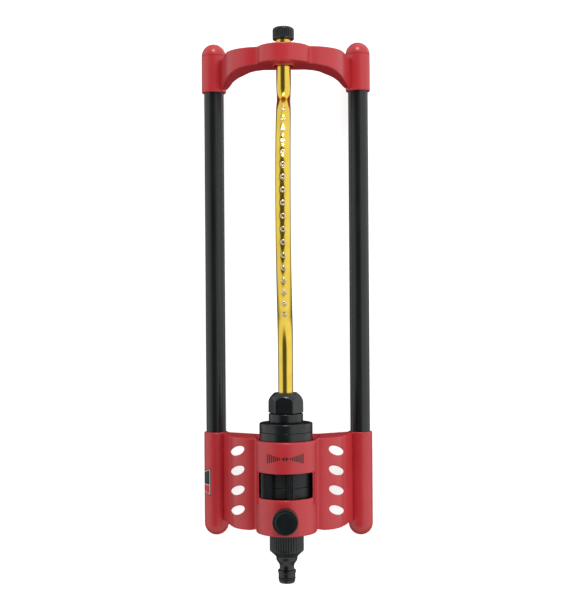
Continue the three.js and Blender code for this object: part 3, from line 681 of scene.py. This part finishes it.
def nozzle(index):
    """A pressed eyelet: a rounded flange on the seat, with a jet through it that widens outwards."""
    height = SPRAY_R - NOZZLE_SEAT_DEPTH
    profile = rounded([
        (0.85, 5.0), (1.5, 5.0), (1.5, height - 0.1), (2.65, height - 0.1, 0.2), (2.65, height + 0.4, 0.4),
        (2.1, height + 1.0, 0.4), (1.4, height + 1.1, 0.3), (0.95, height + 0.2, 0.3),
    ], closed=True)
    angle = nozzle_angles()[index]
    points, faces = turned(profile, 28, "z", (0, 0, 0))
    across, y, z = points.T
    along = y * math.cos(angle) + (BOW_R + z) * math.sin(angle)
    up = -y * math.sin(angle) + (BOW_R + z) * math.cos(angle)
    return np.stack([across, BOW_Y + along, BOW_Z + up], -1), faces


def fluted(count, depth, low, high, sharp):
    """Ribs round a turned piece between two places along it: the radius drops by depth between
    them, following 1 - |cos(count * angle / 2)|^sharp."""
    def shape(angle, radius, along):
        inside = (along > low) & (along < high)
        wave = 1 - np.abs(np.cos(count * angle / 2)) ** sharp
        return radius - depth * wave * inside
    return shape


def end_plug():
    """The plug: a knurled cap with a rounded crown, and a stem in the tube."""
    low, high = box_mm("end_plug")
    base, top = TUBE_END_Y + 0.3, high[1]
    r, stem_r, groove_r = high[0], 5.6, 4.3
    profile = np.concatenate([
        [[0, low[1]]],
        rounded([(stem_r, low[1], 0.4), (stem_r, 242.8, 0.2), (groove_r, 242.8), (groove_r, 245.4),
                 (stem_r, 245.4, 0.2), (stem_r, base), (r - 0.5, base, 0.4), (r, base + 1.2, 0.4)]),
        straight(r, base + 1.6, top - 4.2, 12),
        rounded([(r, top - 3.8), (r - 0.3, top - 1.7, 1.6), (r - 3.6, top - 0.15, 1.8), (0, top)]),
    ])
    return turned(profile, 240, shape=fluted(30, 0.55, base + 1.4, top - 3.4, 0.7))


# -------- water motor

HUB_R = 8
HUB_BORE_R = 5.5


def gland_nut():
    """The tube's clamp nut: the radius is the softened smallest of a hexagon, a domed profile and a
    round limit, -log(exp(-k hexagon) + exp(-k dome) + exp(-k limit)) / k."""
    low, high = box_mm("gland_nut")
    bottom, top = low[1], high[1]
    apothem, limit, crisp = 14.55, 16.75, 3.6
    turn = math.radians(-5)

    def shape(angle, radius, along):
        from_flat = (angle - turn + math.pi / 6) % (math.pi / 3) - math.pi / 6
        hexagon = apothem / np.cos(from_flat)
        soft = -np.log(np.exp(-crisp * hexagon) + np.exp(-crisp * radius) + np.exp(-crisp * limit)) / crisp
        return np.where(radius > 10.9, soft, radius)

    dome = np.array([(17.5, bottom + 0.6), (17.5, -96), (17.4, -93.5), (16.9, -91.2), (16, -89), (14.8, -87),
                     (13.2, -85.1), (11.6, -83.6), (11, top)])
    profile = np.concatenate([
        [[SPRAY_R + 0.25, top - 0.3], [SPRAY_R + 0.25, -90.2], [10.8, -90.2], [10.8, bottom], [13.4, bottom]],
        resampled(dome, 48),
        [[10.4, top], [SPRAY_R + 0.7, top]],
    ])
    return turned(profile, 288, shape=shape)


def toothed(teeth, module, low, high, bore):
    """A spur gear about the spray axis: the radius swings between root and tip once for each tooth,
    as a cosine made 1.9 times as big and cut off level at both."""
    pitch_r = module * teeth / 2

    def shape(angle, radius, along):
        swing = np.clip(1.9 * np.cos(teeth * (angle - math.pi)), -1, 1)
        tooth = pitch_r - 0.175 * module + 0.925 * module * swing
        return np.where(radius > bore + 0.1, tooth, radius)

    profile = [[bore, low], [pitch_r, low], [pitch_r, high], [bore, high]]
    return turned(profile, teeth * 16, shape=shape)


def output_hub():
    """The hollow shaft that carries the tube, with its collar and the last gear of the train."""
    low, high = box_mm("output_hub")
    collar_r = high[0]
    gear_low, gear_high = low[1], low[1] + 2.8
    profile = rounded([
        (SPRAY_R + 0.25, high[1]), (10.5, high[1], 0.4), (10.5, -102.35, 0.3), (collar_r, -102.35, 0.9),
        (collar_r, -110.75, 0.5), (HUB_R, -110.75, 0.3), (HUB_R, gear_low + 1), (HUB_BORE_R, gear_low + 1),
        (HUB_BORE_R, TUBE_START_Y - 0.3), (SPRAY_R + 0.25, TUBE_START_Y - 0.3),
    ], closed=True)
    gear = toothed(24, 0.75, gear_low, gear_high, HUB_BORE_R)
    return combined("output_hub", turned(profile, 96), adds=[gear])


def motor_cap():
    """The motor's lid: a profile turned about the spray axis, open for the hub."""
    low, high = box_mm("motor_cap")
    hole = HUB_R + 0.4
    return turned(rounded([
        (hole, high[1], 0.3), (MOTOR_R, high[1], 1.3), (MOTOR_R, -119.2, 0.35), (23, -119.2), (23, low[1]),
        (11.5, low[1]), (11.5, -116.5), (hole, -116.5),
    ], closed=True), 128)


def motor_case():
    """The motor's barrel: a stepped wall turned about the spray axis."""
    low, high = box_mm("motor_case")
    return turned(rounded([
        (23.3, high[1]), (MOTOR_R, high[1], 0.35), (MOTOR_R, -127.5), (MOTOR_R, low[1], 0.8), (20.5, low[1]),
        (20.5, -154), (23.3, -154),
    ], closed=True), 128)


def valve_body():
    """The turbine chamber's neck, the flange under the range rings, the inlet and the valve's tower."""
    outer = rounded([
        (0, -155.7), (21, -155.7, 0.4), (21, -179.9), (24.4, -179.9, 0.4), (24.4, -183.4, 0.8), (15, -184.5),
        (15, -207, 0.8), (12.6, -209, 0.5), (12.6, -226.1, 0.6), (0, -226.1),
    ])
    channel = [
        (0, -154), (19.2, -154), (19.2, -178.6), (5, -178.6), (5, -211), (7.5, -211), (7.5, -230), (0, -230),
    ]
    upright = {"sides": 48, "axis": "z", "centre": (0, KNOB_Y, 0)}
    stem_bore, seal_bore = bar(4, 70, 105, **upright), bar(6.3, 98.5, 105, **upright)
    return combined(
        "valve_body", turned(outer, 96),
        adds=[bar(8, SPRAY_Z, 102, 0.4, **upright)],
        cuts=[turned(channel, 72), stem_bore, seal_bore],
    )


RING_R = 25.2
TAB_R = 30.4
RING_SPLIT_Y = -169.6
TAB_LOW_Y = WINDOW_LOW_Y + 0.35
TAB_HIGH_Y = WINDOW_HIGH_Y - 0.35


def tab_block(from_deg, to_deg, low, high, inner, outer_line):
    """A block between two angles from straight up. outer_line(degrees) is its outer radius, and its
    ends along Y are rounded: the radius drops by r - sqrt(r^2 - (r - distance)^2) near them."""
    degrees = np.linspace(from_deg, to_deg, 140)
    fillet = 1.1
    near = np.concatenate([np.linspace(0, fillet, 7), np.linspace(fillet + 0.5, (high - low) / 2, 8)])
    drop = fillet - np.sqrt(np.clip(fillet**2 - np.clip(fillet - near, 0, None) ** 2, 0, None))
    y = np.concatenate([low + near, high - near[-2::-1]])[:, None]
    drop = np.concatenate([drop, drop[-2::-1]])[:, None]
    angle = np.radians(degrees)[None, :]
    outer = outer_line(degrees)[None, :] - drop
    skins = [np.stack(np.broadcast_arrays(r * np.sin(angle), y, SPRAY_Z + r * np.cos(angle)), -1)
             for r in (outer, inner + 0 * outer)]
    rows, columns = outer.shape
    loop = np.concatenate([skins[0], skins[1][::-1]])
    body = grid_faces(2 * rows, columns, wrap_rows=True, wrap_columns=False)
    k = np.arange(rows - 1)
    side = np.stack([k, k + 1, 2 * rows - 2 - k, 2 * rows - 1 - k], -1) * columns
    return solid(loop, body, side[:, ::-1], side + columns - 1)


def upper_tab_line(degrees):
    """A round bar at the tab's outer side, then a stepped face with fine upright ribs."""
    outer_bar = TAB_R - 0.9 * ((degrees + 47.3) / 4.2) ** 2
    ribs = TAB_R - 1.5 + 0.45 * np.cos(np.radians(360 * (degrees + 26) / 2.9))
    return np.where(degrees < -43.4, outer_bar, ribs)


def lower_tab_line(degrees):
    """A ridge with three upright ribs and a lower step beside it."""
    ridge = TAB_R - 0.3 + 0.4 * np.cos(np.radians(360 * (degrees - 4) / 3.1))
    return np.where(degrees < 13.4, ridge, TAB_R - 1.6)


def range_ring(low, high, from_deg, to_deg, line):
    """A ring round the neck with a finger tab as long as the window, which overhangs the other ring."""
    root = tab_block(from_deg, to_deg, low, high, RING_R - 1, lambda d: 0 * d + RING_R + 1.5)
    tab = tab_block(from_deg, to_deg, TAB_LOW_Y, TAB_HIGH_Y, RING_R + 0.5, line)
    return combined("range_ring", turned(ring(21.4, RING_R, low, high, 0.35), 128), adds=[root, tab])


# -------- flow valve and inlet


def flow_knob():
    """The knob: a turned cap with a rounded rim, a shallow dish on top and a small raised wedge
    along an arc, which is the sign for more or less water."""
    r, top, bottom, inside = KNOB_HIGH[0], KNOB_HIGH[2], KNOB_LOW[2], 114.3
    profile = rounded([(0, inside), (4, inside), (4, bottom), (r, bottom, 0.4), (r, top, 2.4),
                       (9.4, top - 0.1, 0.5), (8.8, top - 0.35, 0.5), (0, top - 0.35)])
    cap = turned(profile, 96, "z", (0, KNOB_Y, 0))
    share = np.linspace(0, 1, 30)[None, :]
    angle = np.radians(-130 + 260 * share)
    half = (0.25 + 0.85 * share) * np.array([-1, -1, 1, 1])[:, None]
    radius = 5.2 + half
    height = np.array([top - 0.9, top - 0.08, top - 0.08, top - 0.9])[:, None] + 0 * share
    points = np.stack([radius * np.sin(angle), KNOB_Y + radius * np.cos(angle), height], -1)
    return combined("flow_knob", cap, adds=[strip(points)])


def hose_connector():
    """The ribbed inlet nut, which narrows to the click-on nipple with its catch and seal grooves."""
    end, top = CONNECTOR_LOW[1], CONNECTOR_HIGH[1]
    r, bore_r, thread_r = CONNECTOR_HIGH[0], 4.6, 13
    profile = np.concatenate([
        rounded([(thread_r, top), (r, top, 0.7), (r, top - 1.5)]),
        straight(r, top - 1.6, -230.2, 10),
        rounded([
            (r, -231.0), (r - 0.1, -231.3, 0.3), (10.2, -236.7, 1.0), (9.8, -240.3, 0.8), (6.85, -244.6, 1.4),
            (6.85, -249.15, 0.3), (8.46, -249.75, 0.25), (8.46, -252.15, 0.3), (7.92, -252.6, 0.2),
            (7.92, -256.2, 0.2), (6.5, -256.2), (6.5, -258.4), (7.9, -258.4, 0.2), (7.4, -260.9, 0.5),
            (6.6, end, 0.5), (bore_r, end, 0.3), (bore_r, -229), (thread_r, -229),
        ]),
    ])
    return turned(profile, 288, shape=fluted(36, 0.5, -230.4, top - 1.4, 0.6))


def o_ring(node):
    """An O-ring: a circle turned about the spray axis, as big as its CAD node."""
    low, high = box_mm(node)
    half = (high[1] - low[1]) / 2
    angle = full_turn(20)
    centre = [high[0] - half, (low[1] + high[1]) / 2]
    return turned(centre + half * np.stack([np.cos(angle), np.sin(angle)], -1), 96)


def frame_tube(node):
    """A straight tube with its cut ends rounded."""
    (x_low, start, _), (x_high, end, _) = box_mm(node)
    inner = LEG_R - 1.2
    profile = np.concatenate([
        rounded([(inner, start + 2), (inner, start, 0.3), (LEG_R, start, 0.3), (LEG_R, start + 2)]),
        straight(LEG_R, start + 4, end - 4, 24),
        rounded([(LEG_R, end - 2), (LEG_R, end, 0.3), (inner, end, 0.3), (inner, end - 2)]),
        straight(inner, end - 4, start + 4, 24),
    ])
    return turned(profile, 96, centre=((x_low + x_high) / 2, 0, LEG_Z))


def frame_screw(node):
    """A pan-head screw along X. Its head's height is face - 0.9 * (r / head_r)^4, less a cross-shaped
    recess: full depth within 0.3 mm of an arm's middle line, and none beyond 0.5 mm."""
    side = math.copysign(1, box_mm(node)[0][0])
    seat, face, head_r, shank_r, shank = LEG_X - SOCKET_R - 0.3, 1.9, 2.9, 1.2, 6.2
    ring_r = np.concatenate([np.linspace(0.02, 1.9, 16), np.linspace(2.0, head_r, 6)])[:, None]
    angle = full_turn(64)[None, :]
    arm = ring_r * np.minimum(np.abs(np.sin(angle)), np.abs(np.cos(angle)))
    recess = 1.1 * np.clip((0.5 - arm) / 0.2, 0, 1) * np.clip((1.9 - ring_r) / 0.5, 0, 1)
    head = face - 0.9 * (ring_r / head_r) ** 4 - recess
    radius = np.concatenate([ring_r, np.array([[head_r], [shank_r], [shank_r], [0]])])
    height = np.concatenate([head, np.array([[0], [0], [-shank], [-shank]]) + 0 * angle])
    points = placed(radius * np.sin(angle), -side * height, radius * np.cos(angle), "x",
                    (side * seat, middle(node)[1], LEG_Z))
    return solid(points, grid_faces(len(radius), 64), [np.arange(64)])


def end_bearing_bush():
    """The plain bush in the arch: a ring with its edges rounded."""
    low, high = box_mm("end_bearing_bush")
    return turned(ring(SPRAY_R + 0.2, high[0], low[1], high[1], 0.4), 96)


# -------- finishes


def linear(code):
    """An sRGB hex colour as linear red, green, blue and alpha."""
    channels = [int(code[k:k + 2], 16) / 255 for k in (1, 3, 5)]
    return (*[c / 12.92 if c <= 0.04045 else ((c + 0.055) / 1.055) ** 2.4 for c in channels], 1.0)


def add(tree, kind, inputs=None, **settings):
    """Adds a node with its settings; inputs gives each socket a value, an output to link, or a node
    whose first output is linked."""
    made = tree.nodes.new(kind)
    for name, value in settings.items():
        setattr(made, name, value)
    for name, value in (inputs or {}).items():
        if isinstance(value, bpy.types.Node):
            value = value.outputs[0]
        if isinstance(value, bpy.types.NodeSocket):
            tree.links.new(value, made.inputs[name])
        else:
            made.inputs[name].default_value = value
    return made


def per_mm(size):
    """The scale of a noise texture whose features are that many millimetres across."""
    return 1 / (size * MM)


def blank_material(name):
    """A material with an empty tree, that tree, and the object's own coordinates in it."""
    material = bpy.data.materials.new(name)
    material.use_nodes = True
    tree = material.node_tree
    tree.nodes.clear()
    return material, tree, add(tree, "ShaderNodeTexCoord").outputs["Object"]


def surfaced(tree, inputs):
    """Ends a material's tree with its shader and output; inputs are the shader's."""
    add(tree, "ShaderNodeOutputMaterial", {"Surface": add(tree, "ShaderNodeBsdfPrincipled", inputs)})


def finish(name, colours, gloss, layers, relief=0.0, **surface):
    """A material made of up to three layers of noise, each (feature size in millimetres, detail,
    roughness, stretch along Y). The first fades one colour into the other, the second takes the
    roughness from the first gloss to the last, and the third raises the surface by the relief in
    millimetres. Where there are fewer layers, the last one does the rest."""
    material, tree, where = blank_material(name)
    patterns = []
    for size, detail, roughness, stretch in layers:
        along = add(tree, "ShaderNodeMapping", {"Vector": where, "Scale": (1.0, stretch, 1.0)})
        patterns.append(add(tree, "ShaderNodeTexNoise", {"Vector": along, "Scale": per_mm(size),
                                                         "Detail": detail, "Roughness": roughness}))
    fade_by, polish_by, raised_by = (patterns + patterns[-1:] * 2)[:3]
    fade = add(tree, "ShaderNodeMapRange", {"Value": fade_by, "From Min": 0.3, "From Max": 0.7})
    first, last = [linear(colour) for colour in colours]
    tint = add(tree, "ShaderNodeMix", {0: fade, 6: first, 7: last}, data_type="RGBA")
    polish = add(tree, "ShaderNodeMapRange", {"Value": polish_by, "From Min": 0.3, "From Max": 0.7,
                                              "To Min": gloss[0], "To Max": gloss[1]})
    surface.update({"Base Color": tint.outputs[2], "Roughness": polish})
    if relief:
        surface["Normal"] = add(tree, "ShaderNodeBump", {"Height": raised_by, "Strength": 1.0,
                                                         "Distance": relief * MM})
    surfaced(tree, surface)
    return material


def moulded_plastic(name, colours, gloss, grain, relief, **surface):
    """Injection-moulded plastic: spark-eroded grain that spreads highlights, faint flow marks in the
    colour, and patches where the mould was smoother. The real grain, about 0.05 mm, wouldn't show,
    so it is drawn some ten times as coarse."""
    layers = [(34, 3.0, 0.5, 1.0), (9, 4.0, 0.6, 1.0), (grain, 2.0, 0.5, 1.0)]
    return finish(name, colours, (gloss - 0.035, gloss + 0.035), layers, relief, **surface)


def pressed_metal(name, colours, gloss, scuff):
    """Pressed or rolled metal: small scuffs vary the gloss, and the colour warms in the low spots."""
    return finish(name, colours, (gloss - 0.06, gloss + 0.1), [(scuff, 4.0, 0.65, 1.0)], 0.006, Metallic=1.0)


def printed(name, colours):
    """Screen-printed ink or vinyl: matt, a little thin where the mesh left it so."""
    return finish(name, colours, (0.45, 0.6), [(0.8, 3.0, 0.7, 1.0)], IOR=1.5)


# moulded ABS in signal red: satin grain that turns the tent's walls into a pink veil
red_abs = moulded_plastic("moulded_red_abs", ("#ba2a30", "#c03037"), 0.35, 0.45, 0.004, IOR=1.53)

# glass-filled polypropylene, mass-coloured black: smoother tool, so highlights stay narrow
black_pp = moulded_plastic("moulded_black_polypropylene", ("#0c1213", "#111819"), 0.25, 0.5, 0.003, IOR=1.5)

# black acetal of the range rings: satin, so the light down the window spreads thinly over them
satin_black = moulded_plastic("moulded_satin_black_acetal", ("#0a0e11", "#0e1316"), 0.52, 0.5, 0.003,
                              IOR=1.46)

# acetal for gears and the bush: waxy white that lets a little light through
white_acetal = moulded_plastic("moulded_white_acetal", ("#e6e3da", "#dcd8cc"), 0.42, 0.6, 0.003, IOR=1.48,
                               **{"Subsurface Weight": 0.08})

# nitrile rubber: dull black with a dusty bloom
nitrile_rubber = moulded_plastic("moulded_nitrile_rubber", ("#141414", "#222221"), 0.68, 0.35, 0.01, IOR=1.52)

# steel tube under satin black powder coat: orange peel breaks the long highlights softly
black_tube = finish("powder_coated_black_tube", ("#0d1112", "#141919"), (0.24, 0.33),
                    [(26, 4.0, 0.6, 1.0), (3, 3.0, 0.5, 0.05), (1.4, 2.0, 0.5, 1.0)], 0.012, IOR=1.5)

# bright-dipped aluminium, dyed gold: a clear oxide over metal that mirrors the room, with long die
# lines from drawing the tube and slow clouds in the dye
gold_aluminium = finish("gold_anodised_aluminium", ("#eacd58", "#e2c04c"), (0.12, 0.18),
                        [(14, 3.0, 0.5, 1.0), (1.1, 3.0, 0.5, 0.03)], 0.004, Metallic=1.0)

# bright pressed metal: small warm mirrors round the jets
nozzle_metal = pressed_metal("pressed_bright_nozzle_metal", ("#e9dfc8", "#cdbf9f"), 0.24, 1.2)

# zinc-plated steel: cool and even, a little cloudy
zinc_steel = pressed_metal("zinc_plated_steel", ("#c9cbca", "#a9aca9"), 0.3, 0.8)

# screen ink on the housing and vinyl on the label: flat and dull beside the moulding
black_ink = printed("screen_printed_black_ink", ("#151112", "#1f1617"))
LABEL_FINISHES = {
    "black": printed("printed_black_vinyl", ("#121314", "#1c1d1e")),
    "white": printed("printed_white_vinyl", ("#eceae6", "#dfdcd6")),
    "red": printed("printed_red_vinyl", ("#d3212b", "#c31d27")),
}


# -------- camera

CAMERA_DISTANCE = 1.151
AIM = Vector((-0.0017, 0.00435, 0.0114))
YAW = math.radians(1.8)
ROLL = math.radians(0.4)
LENS = 69.06

camera = linked("camera", bpy.data.cameras.new("camera"))
back = Vector((math.sin(YAW), 0, math.cos(YAW)))
up = Vector((math.sin(ROLL), math.cos(ROLL), 0))
right = up.cross(back).normalized()
axes = Matrix((right, back.cross(right), back)).transposed().to_4x4()
camera.matrix_world = Matrix.Translation(AIM + back * CAMERA_DISTANCE) @ axes
camera.data.lens = LENS
camera.data.sensor_width = 36
camera.data.clip_start, camera.data.clip_end = 0.05, 20
bpy.context.scene.camera = camera
bpy.context.scene.view_settings.view_transform = "Standard"


# -------- pieces

show("front_housing_shell", front_housing(), "frame", red_abs, ["front_housing"])
show("end_arch_shell", end_arch(), "frame", red_abs, ["end_arch"])
show("range_scale_print", range_scale(), "frame", black_ink)
for (colour, material), part in zip(LABEL_FINISHES.items(), side_label()):
    show(f"side_label_{colour}", part, "frame", material)

for side in ("left", "right"):
    node = f"{side}_frame_tube"
    show(f"{side}_leg", frame_tube(node), "frame", black_tube, [node])
for number in range(1, 5):
    node = f"frame_screw_{number}"
    show(f"pan_screw_{number}", frame_screw(node), "frame", zinc_steel, [node])
show("bearing_bush", end_bearing_bush(), "frame", white_acetal, ["end_bearing_bush"])

show("bowed_spray_tube", spray_tube(), "spray_arm", gold_aluminium, ["spray_tube"],
     sharp=60)
for index in range(NOZZLE_COUNT):
    number = f"{index + 1:02d}"
    show(f"eyelet_{number}", nozzle(index), "spray_arm", nozzle_metal, [f"nozzle_{number}"],
         sharp=60)
show("clamp_nut", gland_nut(), "spray_arm", black_pp, ["gland_nut"], sharp=40)
show("hub_collar", output_hub(), "spray_arm", black_pp, ["output_hub"])
show("knurled_plug", end_plug(), "plug", black_pp, ["end_plug"], sharp=50)
show("plug_ring", o_ring("end_plug_seal"), "plug", nitrile_rubber, ["end_plug_seal"])

show("motor_lid", motor_cap(), "frame", black_pp, ["motor_cap"])
show("motor_barrel", motor_case(), "frame", black_pp, ["motor_case"])
show("valve_block", valve_body(), "frame", black_pp, ["valve_body"])
upper = range_ring(RING_SPLIT_Y + 0.2, TAB_HIGH_Y, -51.5, -26, upper_tab_line)
lower = range_ring(TAB_LOW_Y, RING_SPLIT_Y - 0.2, 4, 18, lower_tab_line)
show("upper_stop_ring", upper, "upper_ring", satin_black, ["upper_range_ring"])
show("lower_stop_ring", lower, "lower_ring", satin_black, ["lower_range_ring"])

show("water_knob", flow_knob(), "valve", black_pp, ["flow_knob"])
show("inlet_nut_and_nipple", hose_connector(), "frame", black_pp, ["hose_connector"],
     sharp=40)
show("nipple_ring", o_ring("connector_o_ring"), "frame", nitrile_rubber, ["connector_o_ring"])

# What is inside the motor, the valve, the inlet and the plug stays as its CAD nodes, which get
# their finish here.
INNER_PARTS = [
    (white_acetal, ["gear_plate", "turbine_wheel", "gear_1", "gear_2", "gear_3", "trip_lever",
                    "valve_spindle", "inlet_filter"]),
    (zinc_steel, ["central_shaft", "layshaft", "trip_pin", "cleaning_pin"]),
    (nitrile_rubber, ["output_seal", "spindle_seal", "inlet_washer", "gland_seal"]),
]
for material, nodes in INNER_PARTS:
    for node in nodes:
        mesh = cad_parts[node].data
        mesh.materials.clear()
        mesh.materials.append(material)


# -------- floor and light


# A softbox far behind the arch, for the highlights on the domed feet.
SOFTBOX_PLACE = Vector((0.0, 1.75, 1.25))
SOFTBOX_AIM = Vector((0, 0, 0.05))
softbox = linked("far_softbox", bpy.data.lights.new("far_softbox", "AREA"))
softbox.data.shape = "RECTANGLE"
softbox.data.size, softbox.data.size_y = 0.42, 0.32
softbox.data.energy = 20
softbox.location = SOFTBOX_PLACE
softbox.rotation_mode = "QUATERNION"
softbox.rotation_quaternion = (SOFTBOX_AIM - SOFTBOX_PLACE).to_track_quat("-Z", "Y")
softbox.visible_camera = False

# A light tent: bright all round, with the dark gap overhead through which the camera looks. The
# gap is an ellipse, its brightness rises smoothly to the wall's from its inner to its outer reach,
# and the wall is brighter towards +X and dims low down on the hose's side.
GAP_INNER, GAP_OUTER = 0.66, 1.2
GAP_LIGHT, WALL_LEFT, WALL_RIGHT, BELOW_LIGHT = 0.1, 1.0, 1.14, 0.15
world = bpy.data.worlds.new("studio")
world.use_nodes = True
bpy.context.scene.world = world
sky = world.node_tree
sky.nodes.clear()
direction = add(sky, "ShaderNodeTexCoord").outputs["Generated"]
sideways = add(sky, "ShaderNodeSeparateXYZ", {"Vector": direction}).outputs["X"]
from_gap = add(sky, "ShaderNodeMapping", {"Vector": direction, "Location": (0.32, -0.12, 0.0),
                                          "Scale": (1.75, 1.2, 0.0)})
distance = add(sky, "ShaderNodeVectorMath", {"Vector": from_gap}, operation="LENGTH").outputs["Value"]
wall = add(sky, "ShaderNodeMapRange", {"Value": sideways, "From Min": -1.0, "From Max": 1.0,
                                       "To Min": WALL_LEFT, "To Max": WALL_RIGHT})
tent = add(sky, "ShaderNodeMapRange", {"Value": distance, "From Min": GAP_INNER, "From Max": GAP_OUTER,
                                       "To Min": GAP_LIGHT, "To Max": wall}, interpolation_type="SMOOTHSTEP")
lean = add(sky, "ShaderNodeVectorMath", {0: direction, 1: (0.0, 0.7, 1.0)}, operation="DOT_PRODUCT")
below = add(sky, "ShaderNodeMapRange", {"Value": lean.outputs["Value"], "From Min": -0.85, "From Max": -0.4,
                                        "To Min": BELOW_LIGHT, "To Max": 1.0})
strength = add(sky, "ShaderNodeMath", {0: tent, 1: below}, operation="MULTIPLY")
light = add(sky, "ShaderNodeBackground", {"Color": linear("#ffffff"), "Strength": strength})
add(sky, "ShaderNodeOutputWorld", {"Surface": light})

# White paper that glows a little, so that it stays clean in the shade, and that the object neither
# mirrors nor picks up.
FLOOR_REACH = 60.0
floor_mesh = bpy.data.meshes.new("floor")
floor_corners = [(x * FLOOR_REACH, y * FLOOR_REACH, 0) for x, y in ((-1, -1), (1, -1), (1, 1), (-1, 1))]
floor_mesh.from_pydata(floor_corners, [], [(0, 1, 2, 3)])
floor_piece = linked("floor", floor_mesh)
paper, paper_tree, paper_where = blank_material("white_paper_sweep")
pulp = add(paper_tree, "ShaderNodeTexNoise", {"Vector": paper_where, "Scale": per_mm(400)})
paper_tone = add(paper_tree, "ShaderNodeMix", {0: pulp, 6: linear("#c4c4c3"),
                                               7: linear("#cbcbca")}, data_type="RGBA").outputs[2]
surfaced(paper_tree, {"Base Color": paper_tone, "Roughness": 0.9, "Emission Color": linear("#ffffff"),
                      "Emission Strength": 0.8})
floor_mesh.materials.append(paper)
floor_piece.visible_glossy = False
floor_piece.visible_diffuse = False

bpy.context.view_layer.update()
